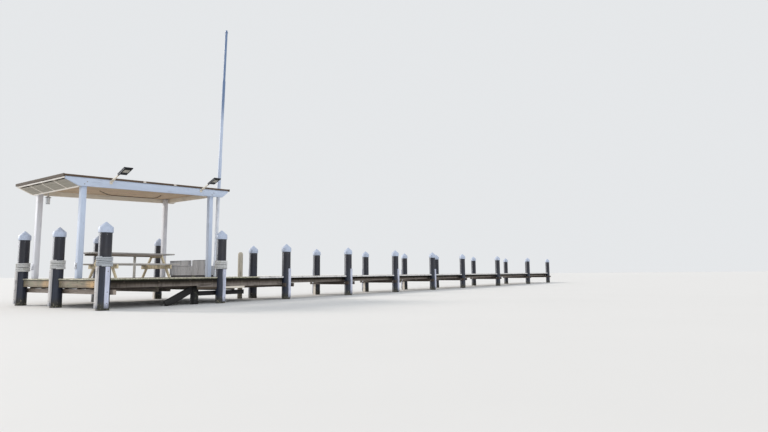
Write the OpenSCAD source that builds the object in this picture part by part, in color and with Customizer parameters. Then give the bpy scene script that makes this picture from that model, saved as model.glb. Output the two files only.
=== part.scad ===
// Wooden jetty on sleeved piles: a lake-end platform with a roofed picnic shelter and
// flagpole, and a straight boarded walkway to the shore. Lengths in mm.
// +X runs along the walkway to the shore, +Y to the far side, +Z up from the waterline.

/* [Levels] */
// Height of the deck's walking surface above the water
deck_top = 800; // [600:1200]
// Thickness of the deck boards
deck_thick = 55; // [30:80]
// Height of the platform piles above the deck
platform_pile_rise = 1310; // [900:2000]
// Height of the walkway piles above the deck
walkway_pile_rise = 1000; // [700:1600]

/* [Piles] */
// Radius of a sleeved pile
pile_r = 150; // [100:200]
// Radius of the corner pile
corner_r = 158; // [100:220]
// How far a pile cap stands out from its pile
cap_over = 20; // [8:40]
// Height of the sloping part of a cap
cap_cone = 140; // [80:300]
// Depth of the cap's skirt
cap_skirt = 140; // [50:200]
// Room between a pile and the deck cut out round it
pile_gap = 12; // [5:30]

/* [Platform] */
// Length of the platform along the walkway
platform_l = 5200; // [4600:6000]
// Width of the platform between pile lines
platform_w = 4700; // [3500:6000]
// Place of the near side pile along the platform
side_pile_x = 3640; // [2800:4200]
// Place of the middle end pile across the platform
end_pile_y = 2480; // [1800:3000]
// Distance between the far side piles of the platform
far_pile_step = 2255; // [1800:2500]
// How far the deck stands out past the pile line
deck_over = 40; // [10:100]

/* [Walkway] */
// Width between the two rows of walkway piles
walkway_w = 1720; // [1400:2200]
// Place of the first pair of walkway piles
first_pair_x = 6480; // [5600:7000]
// Length of the four bays at the lake end
lake_bay = 3550; // [3000:4000]
// Length of the next bay
long_bay_a = 5240; // [4000:6000]
// Length of the bay after that
long_bay_b = 5830; // [4000:6500]
// Length of the last bay
long_bay_c = 4800; // [4000:6000]
// Length of deck past the last pair
shore_end = 450; // [200:900]

/* [Framing] */
// Depth of the platform joists
joist_d = 235; // [180:280]
// Depth of the walkway stringers
stringer_d = 185; // [150:240]
// Thickness of joists and stringers
joist_t = 75; // [50:120]
// Depth of the crossheads bolted to the piles
crosshead_d = 125; // [100:200]
// Thickness of a crosshead
crosshead_t = 75; // [50:100]
// Thickness of the fascia boards
fascia_t = 45; // [25:60]
// How far the fascia stands in from the deck's edge
fascia_in = 25; // [5:40]
// Bottom of the end and side fascia above the water
fascia_z = 555; // [450:650]
// Bottom of the lower fascia board
low_fascia_z = 445; // [350:520]

/* [Fendering] */
// Width of a rubbing strip
strip_w = 100; // [60:140]
// Thickness of a rubbing strip
strip_t = 42; // [25:70]
// Bottom of the strips above the water
strip_z = 55; // [20:200]
// Top of the strips above the deck on the walkway
strip_rise = 270; // [150:500]
// Bottom of the rope lashings above the deck
rope_z = 300; // [200:500]
// Height of a lashing
rope_h = 270; // [120:350]
// How far the rope stands out from the pile
rope_t = 46; // [20:60]
// How much lower the lashing on the middle end pile sits
rope_drop_end = 40; // [0:150]
// How much lower the lashing on the far end pile sits
rope_drop_far = 90; // [0:150]
// How much lower the lashing on the near side pile sits
rope_drop_side = 60; // [0:150]

/* [Shelter] */
// Width of a shelter post
post_w = 140; // [90:200]
// Place of the lake end posts
post_x = 100; // [60:400]
// Distance of the shore end posts from the platform's shore edge
post_shore_inset = 890; // [800:1500]
// Place of the near posts
post_y = 1500; // [1000:2000]
// Distance of the far posts from the far pile line
post_far_inset = 600; // [400:900]
// Clear height under the beams at the lake end
shelter_h = 2535; // [2100:2800]
// Rise of the roof over one metre
roof_rise = 46; // [0:80]
// Depth of the long beams
beam_d = 235; // [180:280]
// Thickness of the shelter beams
beam_t = 75; // [50:110]
// Depth of the short beams at the two ends
end_beam_d = 160; // [120:180]
// Roof overhang at the lake end
over_lake = 536; // [300:700]
// Roof overhang at the shore end
over_shore = 640; // [300:760]
// Length of the slanted cut at a beam's tail
tail_cut = 370; // [150:450]
// Depth left at a tail's nose
tail_nose = 55; // [30:90]
// Width of a rafter
rafter_t = 50; // [35:80]
// Number of rafters between the long beams
rafter_n = 3; // [2:6]
// Thickness of the ceiling boards
ceiling_t = 20; // [10:30]
// Thickness of the roof covering
roof_t = 55; // [20:80]
// How far the roof stands out past the beams
roof_lip = 30; // [10:60]
// Depth of the boards on the roof's ends
edge_board_d = 70; // [50:160]

/* [Roof lights] */
// Place of the first light along the near beam, from the lake end tails
light_s = 1236; // [900:1500]
// Distance between the two lights
light_span = 3035; // [2500:3200]
// Length of a light's arm
light_arm = 790; // [500:900]
// Length of the light's panel along its arm
light_l = 375; // [250:450]
// Width of the light's panel
light_w = 270; // [180:350]
// Slope of the arm in degrees
light_tilt = 23; // [15:40]

/* [Flagpole] */
// Length of the lowest section above the deck
pole_low = 4245; // [2000:5000]
// Length of the middle section
pole_mid = 2895; // [1500:3500]
// Length of the top section
pole_up = 1950; // [1000:2500]
// Radius of the lowest section
pole_r = 64; // [45:80]
// Lean of the flagpole in degrees
pole_lean = 2.1; // [0:4]
// Distance of the flagpole from the platform's shore edge
pole_inset = 95; // [80:105]
// Place of the flagpole across the platform
pole_y = 2190; // [2000:2300]

/* [Table and bench] */
// Length of the table top
table_l = 2600; // [1800:2800]
// Width of the table top
table_w = 740; // [600:900]
// Height of the table
table_h = 770; // [700:800]
// Length of the seats
seat_l = 2350; // [1600:2600]
// Height of the seats
seat_h = 440; // [400:480]
// Middle of the table along the platform
table_x = 2150; // [1500:2600]
// Middle of the table across the platform
table_y = 2500; // [2300:2800]
// Distance between the table's end frames
frame_span = 1740; // [1200:2000]
// Height of the boarded bench
bench_h = 585; // [450:700]
// Length of the boarded bench
bench_l = 2000; // [1200:2200]
// Depth of the boarded bench
bench_d = 420; // [300:600]

/* [Hidden] */
seat = 0.3;
deck_z = deck_top - deck_thick;
joist_z = deck_z - joist_d;
stringer_z = deck_z - stringer_d;
platform_pile_h = deck_top + platform_pile_rise;
walkway_pile_h = deck_top + walkway_pile_rise;
pair_x = [
  first_pair_x,
  first_pair_x + lake_bay,
  first_pair_x + 2 * lake_bay,
  first_pair_x + 3 * lake_bay,
  first_pair_x + 4 * lake_bay,
  first_pair_x + 4 * lake_bay + long_bay_a,
  first_pair_x + 4 * lake_bay + long_bay_a + long_bay_b,
  first_pair_x + 4 * lake_bay + long_bay_a + long_bay_b + long_bay_c
];
deck_end_x = pair_x[7] + shore_end;
far_pile_x = [0, far_pile_step, 2 * far_pile_step];
fascia_out = fascia_in - deck_over;
fascia_back = fascia_out + fascia_t;
roof_angle = atan(roof_rise / 1000);
shelter_z = deck_top + shelter_h;
far_post_x = platform_l - post_shore_inset;
far_post_y = platform_w - post_far_inset;
post_span_x = far_post_x - post_x;
front_y = post_y - post_w / 2 - beam_t;
back_y = far_post_y + post_w / 2;
slope_l = (post_span_x + over_lake + over_shore) / cos(roof_angle);
stub_x = side_pile_x - 790;
stub_y = pile_r + 20 + joist_t / 2;
stub_r = 115;
brace_l = 920;
brace_tilt = 25;
brace_d = 200;
pole_x = platform_l - pole_inset;
table_z = deck_top + table_h;
seat_z = deck_top + seat_h;
board_t = 42;
leg_t = 45;
leg_w = 95;
leg_foot = 750;
leg_head = 250;
lamp_x = post_x + 190;
lamp_y = far_post_y - 95;
bench_x = far_post_x + 100;
bench_y = post_y + 330;
bench_gap = 60;

// a box between two corners
module block(a, b) {
  translate(a)
    cube([b[0] - a[0], b[1] - a[1], b[2] - a[2]]);
}

// a sleeved pile from the waterline up
module pile(x, y, r, h) {
  translate([x, y, 0])
    cylinder(r = r, h = h, $fn = 48);
}

// a conical cap that sits on a pile
module cap(x, y, r, h) {
  translate([x, y, h])
    difference() {
      union() {
        translate([0, 0, -cap_skirt])
          cylinder(r = r + cap_over, h = cap_skirt, $fn = 48);
        cylinder(r1 = r + cap_over, r2 = 14, h = cap_cone, $fn = 48);
      }
      translate([0, 0, -cap_skirt - 1])
        cylinder(r = r + seat, h = cap_skirt + 1, $fn = 48);
    }
}

// a timber strip down one face of a pile, hollowed to its curve
module strip(x, y, r, turn, z1) {
  translate([x, y, 0])
    rotate([0, 0, turn])
      difference() {
        block([-strip_w / 2, -r - strip_t, strip_z], [strip_w / 2, -r + 12, z1]);
        translate([0, 0, strip_z - 1])
          cylinder(r = r + seat, h = z1 - strip_z + 2, $fn = 48);
      }
}

// one band of rope round a pile
module lashing(x, y, r, z0, h) {
  translate([x, y, z0])
    difference() {
      cylinder(r = r + rope_t, h = h, $fn = 48);
      translate([0, 0, -1])
        cylinder(r = r + seat, h = h + 2, $fn = 48);
    }
}

// room for a pile through a deck or a beam
module pile_room(x, y, r, z0, z1) {
  translate([x, y, z0 - 1])
    cylinder(r = r, h = z1 - z0 + 2, $fn = 48);
}

module corner_pile() {
  color([0.07, 0.07, 0.08])
    pile(0, 0, corner_r, platform_pile_h);
}

module end_piles() {
  color([0.07, 0.07, 0.08]) {
    pile(0, end_pile_y, pile_r, platform_pile_h);
    pile(0, platform_w, pile_r, platform_pile_h);
  }
}

module side_pile() {
  color([0.07, 0.07, 0.08])
    pile(side_pile_x, 0, pile_r, platform_pile_h);
}

module platform_far_piles() {
  color([0.07, 0.07, 0.08])
    for (i = [1:2])
      pile(far_pile_x[i], platform_w, pile_r, platform_pile_h);
}

module platform_pile_caps() {
  color([0.86, 0.87, 0.88]) {
    cap(0, 0, corner_r, platform_pile_h);
    cap(0, end_pile_y, pile_r, platform_pile_h);
    cap(side_pile_x, 0, pile_r, platform_pile_h);
    for (i = [0:2])
      cap(far_pile_x[i], platform_w, pile_r, platform_pile_h);
  }
}

module platform_rub_strips() {
  z1 = deck_top + rope_z - 2;
  color([0.72, 0.62, 0.52]) {
    strip(0, 0, corner_r, 0, z1);
    strip(0, 0, corner_r, -90, z1);
    strip(0, end_pile_y, pile_r, -90, z1 - rope_drop_end);
    strip(0, platform_w, pile_r, -90, z1 - rope_drop_far);
    strip(side_pile_x, 0, pile_r, 0, z1 - rope_drop_side);
    strip(far_pile_x[1], platform_w, pile_r, 180, z1);
    strip(far_pile_x[2], platform_w, pile_r, 180, z1);
  }
}

module rope_lashings() {
  z0 = deck_top + rope_z;
  color([0.62, 0.55, 0.45]) {
    lashing(0, 0, corner_r, z0, rope_h);
    lashing(0, end_pile_y, pile_r, z0 - rope_drop_end, rope_h);
    lashing(0, platform_w, pile_r, z0 - rope_drop_far, rope_h);
    lashing(side_pile_x, 0, pile_r, z0 - rope_drop_side, rope_h);
  }
}

// a short pile that carries the outer joist
module stub_pile() {
  color([0.16, 0.13, 0.11])
    translate([stub_x, stub_y, 0])
      cylinder(r = stub_r, h = joist_z - seat, $fn = 48);
}

// an old timber that leans from the water up to the stub pile
module low_brace() {
  color([0.14, 0.11, 0.1])
    difference() {
      translate([stub_x - brace_l, stub_y - 35, -50])
        rotate([0, -brace_tilt, 0])
          cube([(brace_l + 30) / cos(brace_tilt), 70, brace_d]);
      block([stub_x - brace_l - 200, 0, -400], [stub_x, 500, 0]);
      block([stub_x - brace_l - 200, 0, joist_z - seat], [stub_x, 500, deck_top]);
      pile_room(stub_x, stub_y, stub_r + seat, 0, joist_z);
    }
}

module low_waling() {
  z1 = joist_z - crosshead_d - seat;
  color([0.2, 0.17, 0.15])
    block([stub_x + stub_r + 1, pile_r + seat, z1 - 135], [side_pile_x + 1060, pile_r + 75, z1]);
}

// pairs of timbers across the piles, one on each side of a row
module crosshead_pair(x, r, y0, y1, z1) {
  for (s = [-1, 1])
    translate([x + s * (r + crosshead_t / 2 + seat) - crosshead_t / 2, y0, z1 - crosshead_d])
      cube([crosshead_t, y1 - y0, crosshead_d]);
}

module platform_crossheads() {
  z0 = joist_z - crosshead_d;
  far_y = platform_w + 250;
  short_y = 850;
  side_bite = sqrt(pile_r * pile_r - (fascia_back + 1) * (fascia_back + 1)) + seat;
  color([0.3, 0.26, 0.24]) {
    block([corner_r + seat, -200, z0], [corner_r + seat + crosshead_t, far_y, joist_z]);
    for (s = [-1, 1])
      translate([far_pile_x[1] + s * (pile_r + seat + crosshead_t / 2) - crosshead_t / 2, short_y, z0])
        cube([crosshead_t, far_y - short_y, crosshead_d]);
    translate([side_pile_x + side_bite, fascia_back + 1, z0])
      cube([crosshead_t, platform_w - pile_r - 30 - fascia_back, crosshead_d]);
    translate([far_pile_x[2] - pile_r - seat - crosshead_t, 200, z0])
      cube([crosshead_t, far_y - 200, crosshead_d]);
  }
}

module platform_joists() {
  n = 6;
  y0 = pile_r + 20;
  y1 = platform_w - pile_r - 20 - joist_t;
  color([0.28, 0.24, 0.21])
    for (i = [0:n])
      translate([corner_r + 2, y0 + i * (y1 - y0) / n, joist_z])
        cube([platform_l - corner_r - 2, joist_t, joist_d]);
}

module platform_deck() {
  color([0.62, 0.59, 0.54])
    difference() {
      block([-deck_over, -deck_over, deck_z], [platform_l, platform_w + deck_over, deck_top]);
      pile_room(0, 0, corner_r + pile_gap, deck_z, deck_top);
      pile_room(0, end_pile_y, pile_r + pile_gap, deck_z, deck_top);
      pile_room(side_pile_x, 0, pile_r + pile_gap, deck_z, deck_top);
      for (i = [0:2])
        pile_room(far_pile_x[i], platform_w, pile_r + pile_gap, deck_z, deck_top);
    }
}

module end_fascia() {
  color([0.6, 0.52, 0.33])
    difference() {
      block([fascia_out, 0, fascia_z], [fascia_back, platform_w, deck_z]);
      pile_room(0, 0, corner_r + seat, fascia_z, deck_top);
      pile_room(0, end_pile_y, pile_r + seat, fascia_z, deck_top);
      pile_room(0, platform_w, pile_r + seat, fascia_z, deck_top);
    }
}

module side_fascia() {
  x1 = first_pair_x - pile_r - crosshead_t - 2;
  color([0.22, 0.18, 0.16])
    difference() {
      union() {
        block([0, fascia_out, fascia_z], [x1, fascia_back, deck_z]);
        block([side_pile_x - 850, fascia_out, low_fascia_z], [x1, fascia_back, fascia_z]);
      }
      pile_room(0, 0, corner_r + seat, low_fascia_z, deck_top);
      pile_room(side_pile_x, 0, pile_r + seat, low_fascia_z, deck_top);
    }
}

module far_fascia() {
  y0 = platform_w - fascia_back;
  color([0.24, 0.2, 0.17])
    difference() {
      union() {
        block([0, y0, fascia_z], [platform_l, y0 + fascia_t, deck_z]);
        block([platform_l, walkway_w + 200, fascia_z], [platform_l + fascia_t, platform_w + deck_over, deck_top]);
      }
      for (i = [0:2])
        pile_room(far_pile_x[i], platform_w, pile_r + seat, fascia_z, deck_top);
    }
}

module walkway_near_piles() {
  color([0.07, 0.07, 0.08])
    for (x = pair_x)
      pile(x, 0, pile_r, walkway_pile_h);
}

module walkway_far_piles() {
  color([0.07, 0.07, 0.08])
    for (x = pair_x)
      pile(x, walkway_w, pile_r, walkway_pile_h);
}

module walkway_pile_caps() {
  color([0.86, 0.87, 0.88])
    for (x = pair_x) {
      cap(x, 0, pile_r, walkway_pile_h);
      cap(x, walkway_w, pile_r, walkway_pile_h);
    }
}

module walkway_rub_strips() {
  color([0.72, 0.62, 0.52])
    for (i = [0:3]) {
      strip(pair_x[i], 0, pile_r, 0, deck_top + strip_rise);
      strip(pair_x[i], walkway_w, pile_r, 180, deck_top + strip_rise);
    }
}

module walkway_crossheads() {
  color([0.3, 0.26, 0.24])
    for (x = pair_x)
      crosshead_pair(x, pile_r, -170, walkway_w + 170, stringer_z);
}

// the stringers lap beside the platform joists at the lake end
module walkway_stringers() {
  x0 = side_pile_x + pile_r + 90;
  joist_step = (platform_w - 2 * pile_r - 40 - joist_t) / 6;
  y_near = pile_r + 20 + joist_t + seat;
  y_far = walkway_w - pile_r - 20 - joist_t;
  color([0.26, 0.22, 0.19])
    for (y = [y_near, y_near + joist_step, y_far])
      block([x0, y, stringer_z], [deck_end_x, y + joist_t, deck_z]);
}

// a length of walkway deck cut out round the piles
module deck_length(x0, x1) {
  difference() {
    block([x0, -deck_over, deck_z], [x1, walkway_w + deck_over, deck_top]);
    for (x = pair_x) {
      if (x > x0 - pile_r && x < x1 + pile_r) {
        pile_room(x, 0, pile_r + pile_gap, deck_z, deck_top);
        pile_room(x, walkway_w, pile_r + pile_gap, deck_z, deck_top);
      }
    }
  }
}

module deck_lake_bays() {
  color([0.62, 0.59, 0.54])
    deck_length(platform_l + 3, pair_x[2] + 600);
}

module deck_middle_bays() {
  color([0.62, 0.59, 0.54])
    deck_length(pair_x[2] + 603, pair_x[5] - 600);
}

module deck_shore_bays() {
  color([0.62, 0.59, 0.54])
    deck_length(pair_x[5] - 597, deck_end_x);
}

// a bare timber post bolted to the deck's far edge
module mooring_post() {
  r = 88;
  color([0.7, 0.66, 0.58])
    translate([(platform_l + first_pair_x) / 2 + 140, walkway_w + deck_over + r + seat, 0]) {
      cylinder(r = r, h = deck_top + 830, $fn = 48);
      translate([0, 0, deck_top + 830])
        cylinder(r1 = r, r2 = r - 38, h = 60, $fn = 48);
    }
}

module shelter_posts() {
  color([0.88, 0.89, 0.9])
    for (x = [post_x, far_post_x])
      for (y = [post_y, far_post_y])
        translate([x - post_w / 2, y - post_w / 2, deck_top])
          cube([post_w, post_w, shelter_h + end_beam_d - ceiling_t - 8 + (x - post_x) * roof_rise / 1000]);
}

// puts its children on the slope of the roof, from the tip of the lake end tails
module on_slope() {
  translate([post_x - over_lake, 0, shelter_z - over_lake * roof_rise / 1000])
    rotate([0, -roof_angle, 0])
      children();
}

// side outline of a roof timber with a slanted tail at each end
module tailed(y, t, top, depth, cut) {
  translate([0, y + t, 0])
    rotate([90, 0, 0])
      linear_extrude(t)
        polygon([
          [0, top - tail_nose],
          [cut, top - depth],
          [slope_l - 0.65 * cut, top - depth],
          [slope_l, top - tail_nose],
          [slope_l, top],
          [0, top]
        ]);
}

module shelter_front_beam() {
  color([0.86, 0.88, 0.9])
    on_slope()
      tailed(front_y, beam_t, beam_d, beam_d, tail_cut);
}

module shelter_far_beam() {
  color([0.86, 0.88, 0.9])
    on_slope()
      tailed(back_y, beam_t, beam_d, beam_d, tail_cut);
}

// the short beams stand on the outside faces of the posts
module shelter_end_beams() {
  y0 = front_y + beam_t + seat;
  y1 = back_y - seat;
  color([0.86, 0.87, 0.88])
    for (x = [post_x - post_w / 2 - beam_t, far_post_x + post_w / 2]) {
      z0 = shelter_z + (x - post_x) * roof_rise / 1000;
      block([x, y0, z0], [x + beam_t, y1, z0 + end_beam_d]);
    }
}

module shelter_rafters() {
  step = (back_y + beam_t - front_y) / (rafter_n + 1);
  color([0.84, 0.83, 0.8])
    on_slope()
      for (i = [1:rafter_n])
        tailed(front_y + i * step - rafter_t / 2, rafter_t, beam_d, beam_d - end_beam_d, tail_cut - 60);
}

// the ceiling, and a slanted board that closes the eave between the lake end tails
module shelter_ceiling() {
  s0 = over_lake - post_w / 2 + 8;
  s1 = over_lake + post_span_x + post_w / 2 + 10;
  y0 = front_y + beam_t;
  fall = (beam_d - tail_nose) / tail_cut;
  eave_top = end_beam_d - seat;
  eave_s0 = (beam_d - tail_nose - eave_top) / fall;
  eave_s1 = over_lake - post_w / 2 - beam_t - 3;
  eave_t = 14;
  color([0.66, 0.5, 0.33])
    on_slope() {
      block([s0, y0 + 2, end_beam_d - ceiling_t], [s1, back_y - 2, eave_top]);
      translate([0, back_y - seat, 0])
        rotate([90, 0, 0])
          linear_extrude(back_y - y0 - 2 * seat)
            polygon([
              [eave_s0, eave_top],
              [eave_s1, (eave_s0 - eave_s1) * fall + eave_top],
              [eave_s1, (eave_s0 - eave_s1) * fall + eave_top + eave_t + 6],
              [eave_s0 + 2 * eave_t, eave_top]
            ]);
    }
}

module shelter_roof() {
  y0 = front_y - roof_lip;
  y1 = back_y + beam_t + roof_lip;
  color([0.3, 0.24, 0.19])
    on_slope() {
      block([-roof_lip, y0, beam_d + seat], [slope_l + roof_lip, y1, beam_d + roof_t]);
      block([-roof_lip - 25, y0, beam_d + roof_t - edge_board_d], [-roof_lip, y1, beam_d + roof_t + 8]);
      block([slope_l + roof_lip, y0, beam_d + roof_t - edge_board_d], [slope_l + roof_lip + 25, y1, beam_d + roof_t + 8]);
    }
}

// flat lights on arms that lean out from the face of the near beam
module roof_lights() {
  bar = 36;
  plate_t = 12;
  z0 = beam_d - 65;
  color([0.72, 0.73, 0.75])
    on_slope()
      for (s = [light_s, light_s + light_span]) {
        block([s - 40, front_y - seat - plate_t, z0 - 60], [s + 40, front_y - seat, z0 + 35]);
        translate([s, front_y - seat - plate_t + 3, z0])
          rotate([-light_tilt, 0, 0]) {
            block([-bar / 2, -light_arm, -bar / 2], [bar / 2, 0, bar / 2]);
            block([-26, -light_arm - 8, bar / 2 - 1], [light_w - 26, light_l - light_arm, bar / 2 + 30]);
          }
      }
}

module shelter_lamp() {
  z1 = shelter_z + end_beam_d - ceiling_t + (lamp_x - post_x) * roof_rise / 1000;
  color([0.82, 0.83, 0.84])
    translate([lamp_x, lamp_y, 0]) {
      translate([0, 0, shelter_z - 40])
        cylinder(r = 11, h = z1 - shelter_z + 39, $fn = 24);
      translate([0, 0, shelter_z - 75])
        cylinder(r1 = 95, r2 = 30, h = 45, $fn = 32);
      translate([0, 0, shelter_z - 270])
        cylinder(r = 60, h = 20, $fn = 32);
      for (a = [45:90:315])
        rotate([0, 0, a])
          translate([52, -5, shelter_z - 252])
            cube([7, 10, 180]);
    }
}

module lamp_glass() {
  color([0.9, 0.92, 0.92])
    translate([lamp_x, lamp_y, shelter_z - 250 + seat])
      cylinder(r = 45, h = 175 - 2 * seat, $fn = 32);
}

// puts its children on the line of the leaning flagpole
module on_pole() {
  translate([pole_x, pole_y, deck_top])
    rotate([pole_lean, 0, 0])
      children();
}

module flagpole_foot() {
  color([0.5, 0.52, 0.54])
    difference() {
      union() {
        translate([pole_x - 90, pole_y - 130, deck_top])
          cube([180, 260, 14]);
        on_pole()
          cylinder(r = pole_r + 14, h = 220, $fn = 32);
      }
      block([pole_x - 200, pole_y - 300, deck_top - 60], [pole_x + 200, pole_y + 300, deck_top]);
      on_pole()
        translate([0, 0, 20])
          cylinder(r = pole_r + seat, h = 300, $fn = 32);
    }
}

module flagpole_lower() {
  color([0.82, 0.84, 0.87])
    on_pole()
      translate([0, 0, 20 + seat])
        cylinder(r = pole_r, h = pole_low - 20, $fn = 32);
}

module flagpole_middle() {
  color([0.82, 0.84, 0.87])
    on_pole()
      translate([0, 0, pole_low + 2 * seat]) {
        cylinder(r = pole_r - 4, h = 40, $fn = 32);
        cylinder(r = pole_r - 10, h = pole_mid, $fn = 32);
      }
}

module flagpole_upper() {
  color([0.84, 0.86, 0.88])
    on_pole()
      translate([0, 0, pole_low + pole_mid + 3 * seat]) {
        cylinder(r = pole_r - 14, h = 40, $fn = 32);
        cylinder(r = pole_r - 20, h = pole_up - 70, $fn = 32);
        translate([0, 0, pole_up - 70])
          cylinder(r = pole_r - 8, h = 25, $fn = 32);
        translate([0, 0, pole_up - 45])
          cylinder(r = pole_r - 26, h = 60, $fn = 32);
      }
}

module table_top() {
  w = (table_w - 4 * 6) / 5;
  color([0.52, 0.51, 0.5]) {
    for (i = [0:4])
      translate([table_x - table_l / 2, table_y - table_w / 2 + i * (w + 6), table_z - board_t])
        cube([table_l, w, board_t]);
  }
}

module table_seats() {
  color([0.5, 0.49, 0.48])
    for (s = [-1, 1])
      for (k = [0, 1])
        translate([table_x - seat_l / 2, table_y + s * 690 - 135 + k * 140, seat_z - board_t])
          cube([seat_l, 132, board_t]);
}

// one slanted leg of an end frame
module leg(s) {
  rotate([90, 0, 90])
    linear_extrude(leg_t)
      polygon([
        [s * (leg_foot - leg_w / 2), 0],
        [s * (leg_foot + leg_w / 2), 0],
        [s * (leg_head + leg_w / 2), table_h - board_t - seat],
        [s * (leg_head - leg_w / 2), table_h - board_t - seat]
      ]);
}

module table_frames() {
  color([0.68, 0.6, 0.42]) {
    for (t = [-1, 1])
      translate([table_x + t * frame_span / 2 - leg_t / 2, table_y, deck_top]) {
        leg(1);
        leg(-1);
        translate([0, -leg_foot - 75, seat_h - board_t - 120])
          cube([leg_t, 2 * leg_foot + 150, 120 - seat]);
        translate([0, -leg_head - 80, table_h - board_t - 90])
          cube([leg_t, 2 * leg_head + 160, 90 - seat]);
      }
    translate([table_x + 95, table_y - 30, deck_top])
      cube([60, 60, table_h - board_t - seat]);
  }
}

// a low boarded bench with a gap in its back
module boarded_bench() {
  back_h = 200;
  color([0.6, 0.59, 0.6])
    translate([bench_x, bench_y, deck_top]) {
      for (y = [60, bench_l / 2 - 35, bench_l - 130])
        translate([30, y, 0])
          cube([bench_d - 60, 70, bench_gap]);
      translate([0, 0, bench_gap])
        cube([bench_d, bench_l, bench_h - bench_gap - back_h]);
      translate([0, 0, bench_h - back_h])
        cube([60, bench_l * 0.31, back_h]);
      translate([0, bench_l * 0.41, bench_h - back_h])
        cube([60, bench_l * 0.59, back_h]);
    }
}

module cleat() {
  translate([-11, -30, 0])
    cube([12, 60, 170]);
  translate([-26, -14, 60])
    cube([18, 28, 50]);
  translate([-44, -13, -10])
    cube([20, 26, 190]);
}

module post_cleats() {
  color([0.42, 0.43, 0.45])
    for (y = [post_y, far_post_y])
      translate([post_x - post_w / 2 - 1, y, deck_top + 260])
        cleat();
}

corner_pile();
end_piles();
side_pile();
platform_far_piles();
platform_pile_caps();
platform_rub_strips();
rope_lashings();
stub_pile();
low_brace();
low_waling();
platform_crossheads();
platform_joists();
platform_deck();
end_fascia();
side_fascia();
far_fascia();
walkway_near_piles();
walkway_far_piles();
walkway_pile_caps();
walkway_rub_strips();
walkway_crossheads();
walkway_stringers();
deck_lake_bays();
deck_middle_bays();
deck_shore_bays();
mooring_post();
shelter_posts();
shelter_front_beam();
shelter_far_beam();
shelter_end_beams();
shelter_rafters();
shelter_ceiling();
shelter_roof();
roof_lights();
shelter_lamp();
lamp_glass();
flagpole_foot();
flagpole_lower();
flagpole_middle();
flagpole_upper();
table_top();
table_seats();
table_frames();
boarded_bench();
post_cleats();
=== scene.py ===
"""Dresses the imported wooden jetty: separate deck boards, rope lashings, roof sheet, fixings and finishes."""
import math
import random

import bmesh
import bpy
from bpy.props import FloatProperty, FloatVectorProperty, IntProperty, PointerProperty
from mathutils import Matrix, Vector


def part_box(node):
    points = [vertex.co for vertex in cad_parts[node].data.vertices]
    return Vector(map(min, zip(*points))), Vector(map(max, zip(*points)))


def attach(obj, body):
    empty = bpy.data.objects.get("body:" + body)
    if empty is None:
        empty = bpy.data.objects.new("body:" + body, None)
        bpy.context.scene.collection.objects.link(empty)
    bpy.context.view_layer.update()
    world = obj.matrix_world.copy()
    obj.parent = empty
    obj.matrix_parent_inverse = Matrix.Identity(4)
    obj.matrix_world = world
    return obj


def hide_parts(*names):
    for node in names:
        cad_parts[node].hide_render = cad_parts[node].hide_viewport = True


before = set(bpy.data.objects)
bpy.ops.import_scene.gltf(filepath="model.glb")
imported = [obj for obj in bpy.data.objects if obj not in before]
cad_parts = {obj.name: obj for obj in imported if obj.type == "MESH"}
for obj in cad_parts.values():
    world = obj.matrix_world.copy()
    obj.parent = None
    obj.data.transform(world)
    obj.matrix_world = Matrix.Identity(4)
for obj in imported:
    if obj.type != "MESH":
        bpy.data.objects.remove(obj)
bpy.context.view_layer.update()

bl_info = {
    "name": "Wooden jetty",
    "version": (1, 0, 0),
    "blender": (4, 5, 0),
    "location": "View3D > Sidebar > Jetty",
    "description": "Builds the boards, rope, roof and finishes of a wooden jetty round its packed frame",
    "category": "Add Mesh",
}

# Directions in which the jetty's faces look
LAKE = (-1, 0, 0)
SHORE = (1, 0, 0)
NEAR = (0, -1, 0)
FAR = (0, 1, 0)
UP = (0, 0, 1)

# Piles: place along and across the jetty and radius of the sleeve, in metres
SLEEVE_RADIUS = 0.15
CORNER_PILE = (0.0, 0.0, 0.158)
MIDDLE_END_PILE = (0.0, 2.48, SLEEVE_RADIUS)
FAR_END_PILE = (0.0, 4.7, SLEEVE_RADIUS)
SIDE_PILE = (3.64, 0.0, SLEEVE_RADIUS)
FAR_MIDDLE_PILE = (2.255, 4.7, SLEEVE_RADIUS)
FAR_SHORE_PILE = (4.51, 4.7, SLEEVE_RADIUS)
END_PILES = (CORNER_PILE, MIDDLE_END_PILE, FAR_END_PILE)
PLATFORM_PILES = (*END_PILES, SIDE_PILE, FAR_MIDDLE_PILE, FAR_SHORE_PILE)
PAIR_X = (6.48, 10.03, 13.58, 17.13, 20.68, 25.92, 31.75, 36.55)
WALKWAY_Y = (0.0, 1.72)
WALKWAY_PILES = tuple((x, y, SLEEVE_RADIUS) for x in PAIR_X for y in WALKWAY_Y)
PLATFORM_PILE_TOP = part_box("corner_pile")[1].z
WALKWAY_PILE_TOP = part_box("walkway_near_piles")[1].z
CAP_SKIRT = 0.14
CAP_WALL = 0.02
STRIP_THICK = 0.033

# Heights at which the lashings begin on the first four piles, and a strand's share of the rope's radius
ROPE_LOW = (1.10, 1.06, 1.01, 1.04)
STRAND_SHARE = 0.53

# Deck and framing, in metres
DECK_LOW, DECK_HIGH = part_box("platform_deck")
WALK_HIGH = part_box("deck_shore_bays")[1]
DECK_TOP = DECK_HIGH.z
PLATFORM_BOARDS = 36
BOARD_PITCH = (DECK_HIGH.x - DECK_LOW.x) / PLATFORM_BOARDS
STRINGER_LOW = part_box("walkway_stringers")[0].z
JOIST_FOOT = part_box("platform_joists")[0].z
FASCIA_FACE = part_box("end_fascia")[0].x
FASCIA_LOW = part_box("side_fascia")[0].z

# Lines across the jetty on which the deck boards are screwed down, in metres
JOIST_Y = tuple(0.2075 + k * 0.71417 for k in range(7))
STRINGER_Y = (0.2828, 0.997, 1.5125)

# Heights between which the deck boards are cut round the piles, in metres
CUT_TOP = 0.9
CUT_BOTTOM = 0.6

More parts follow.
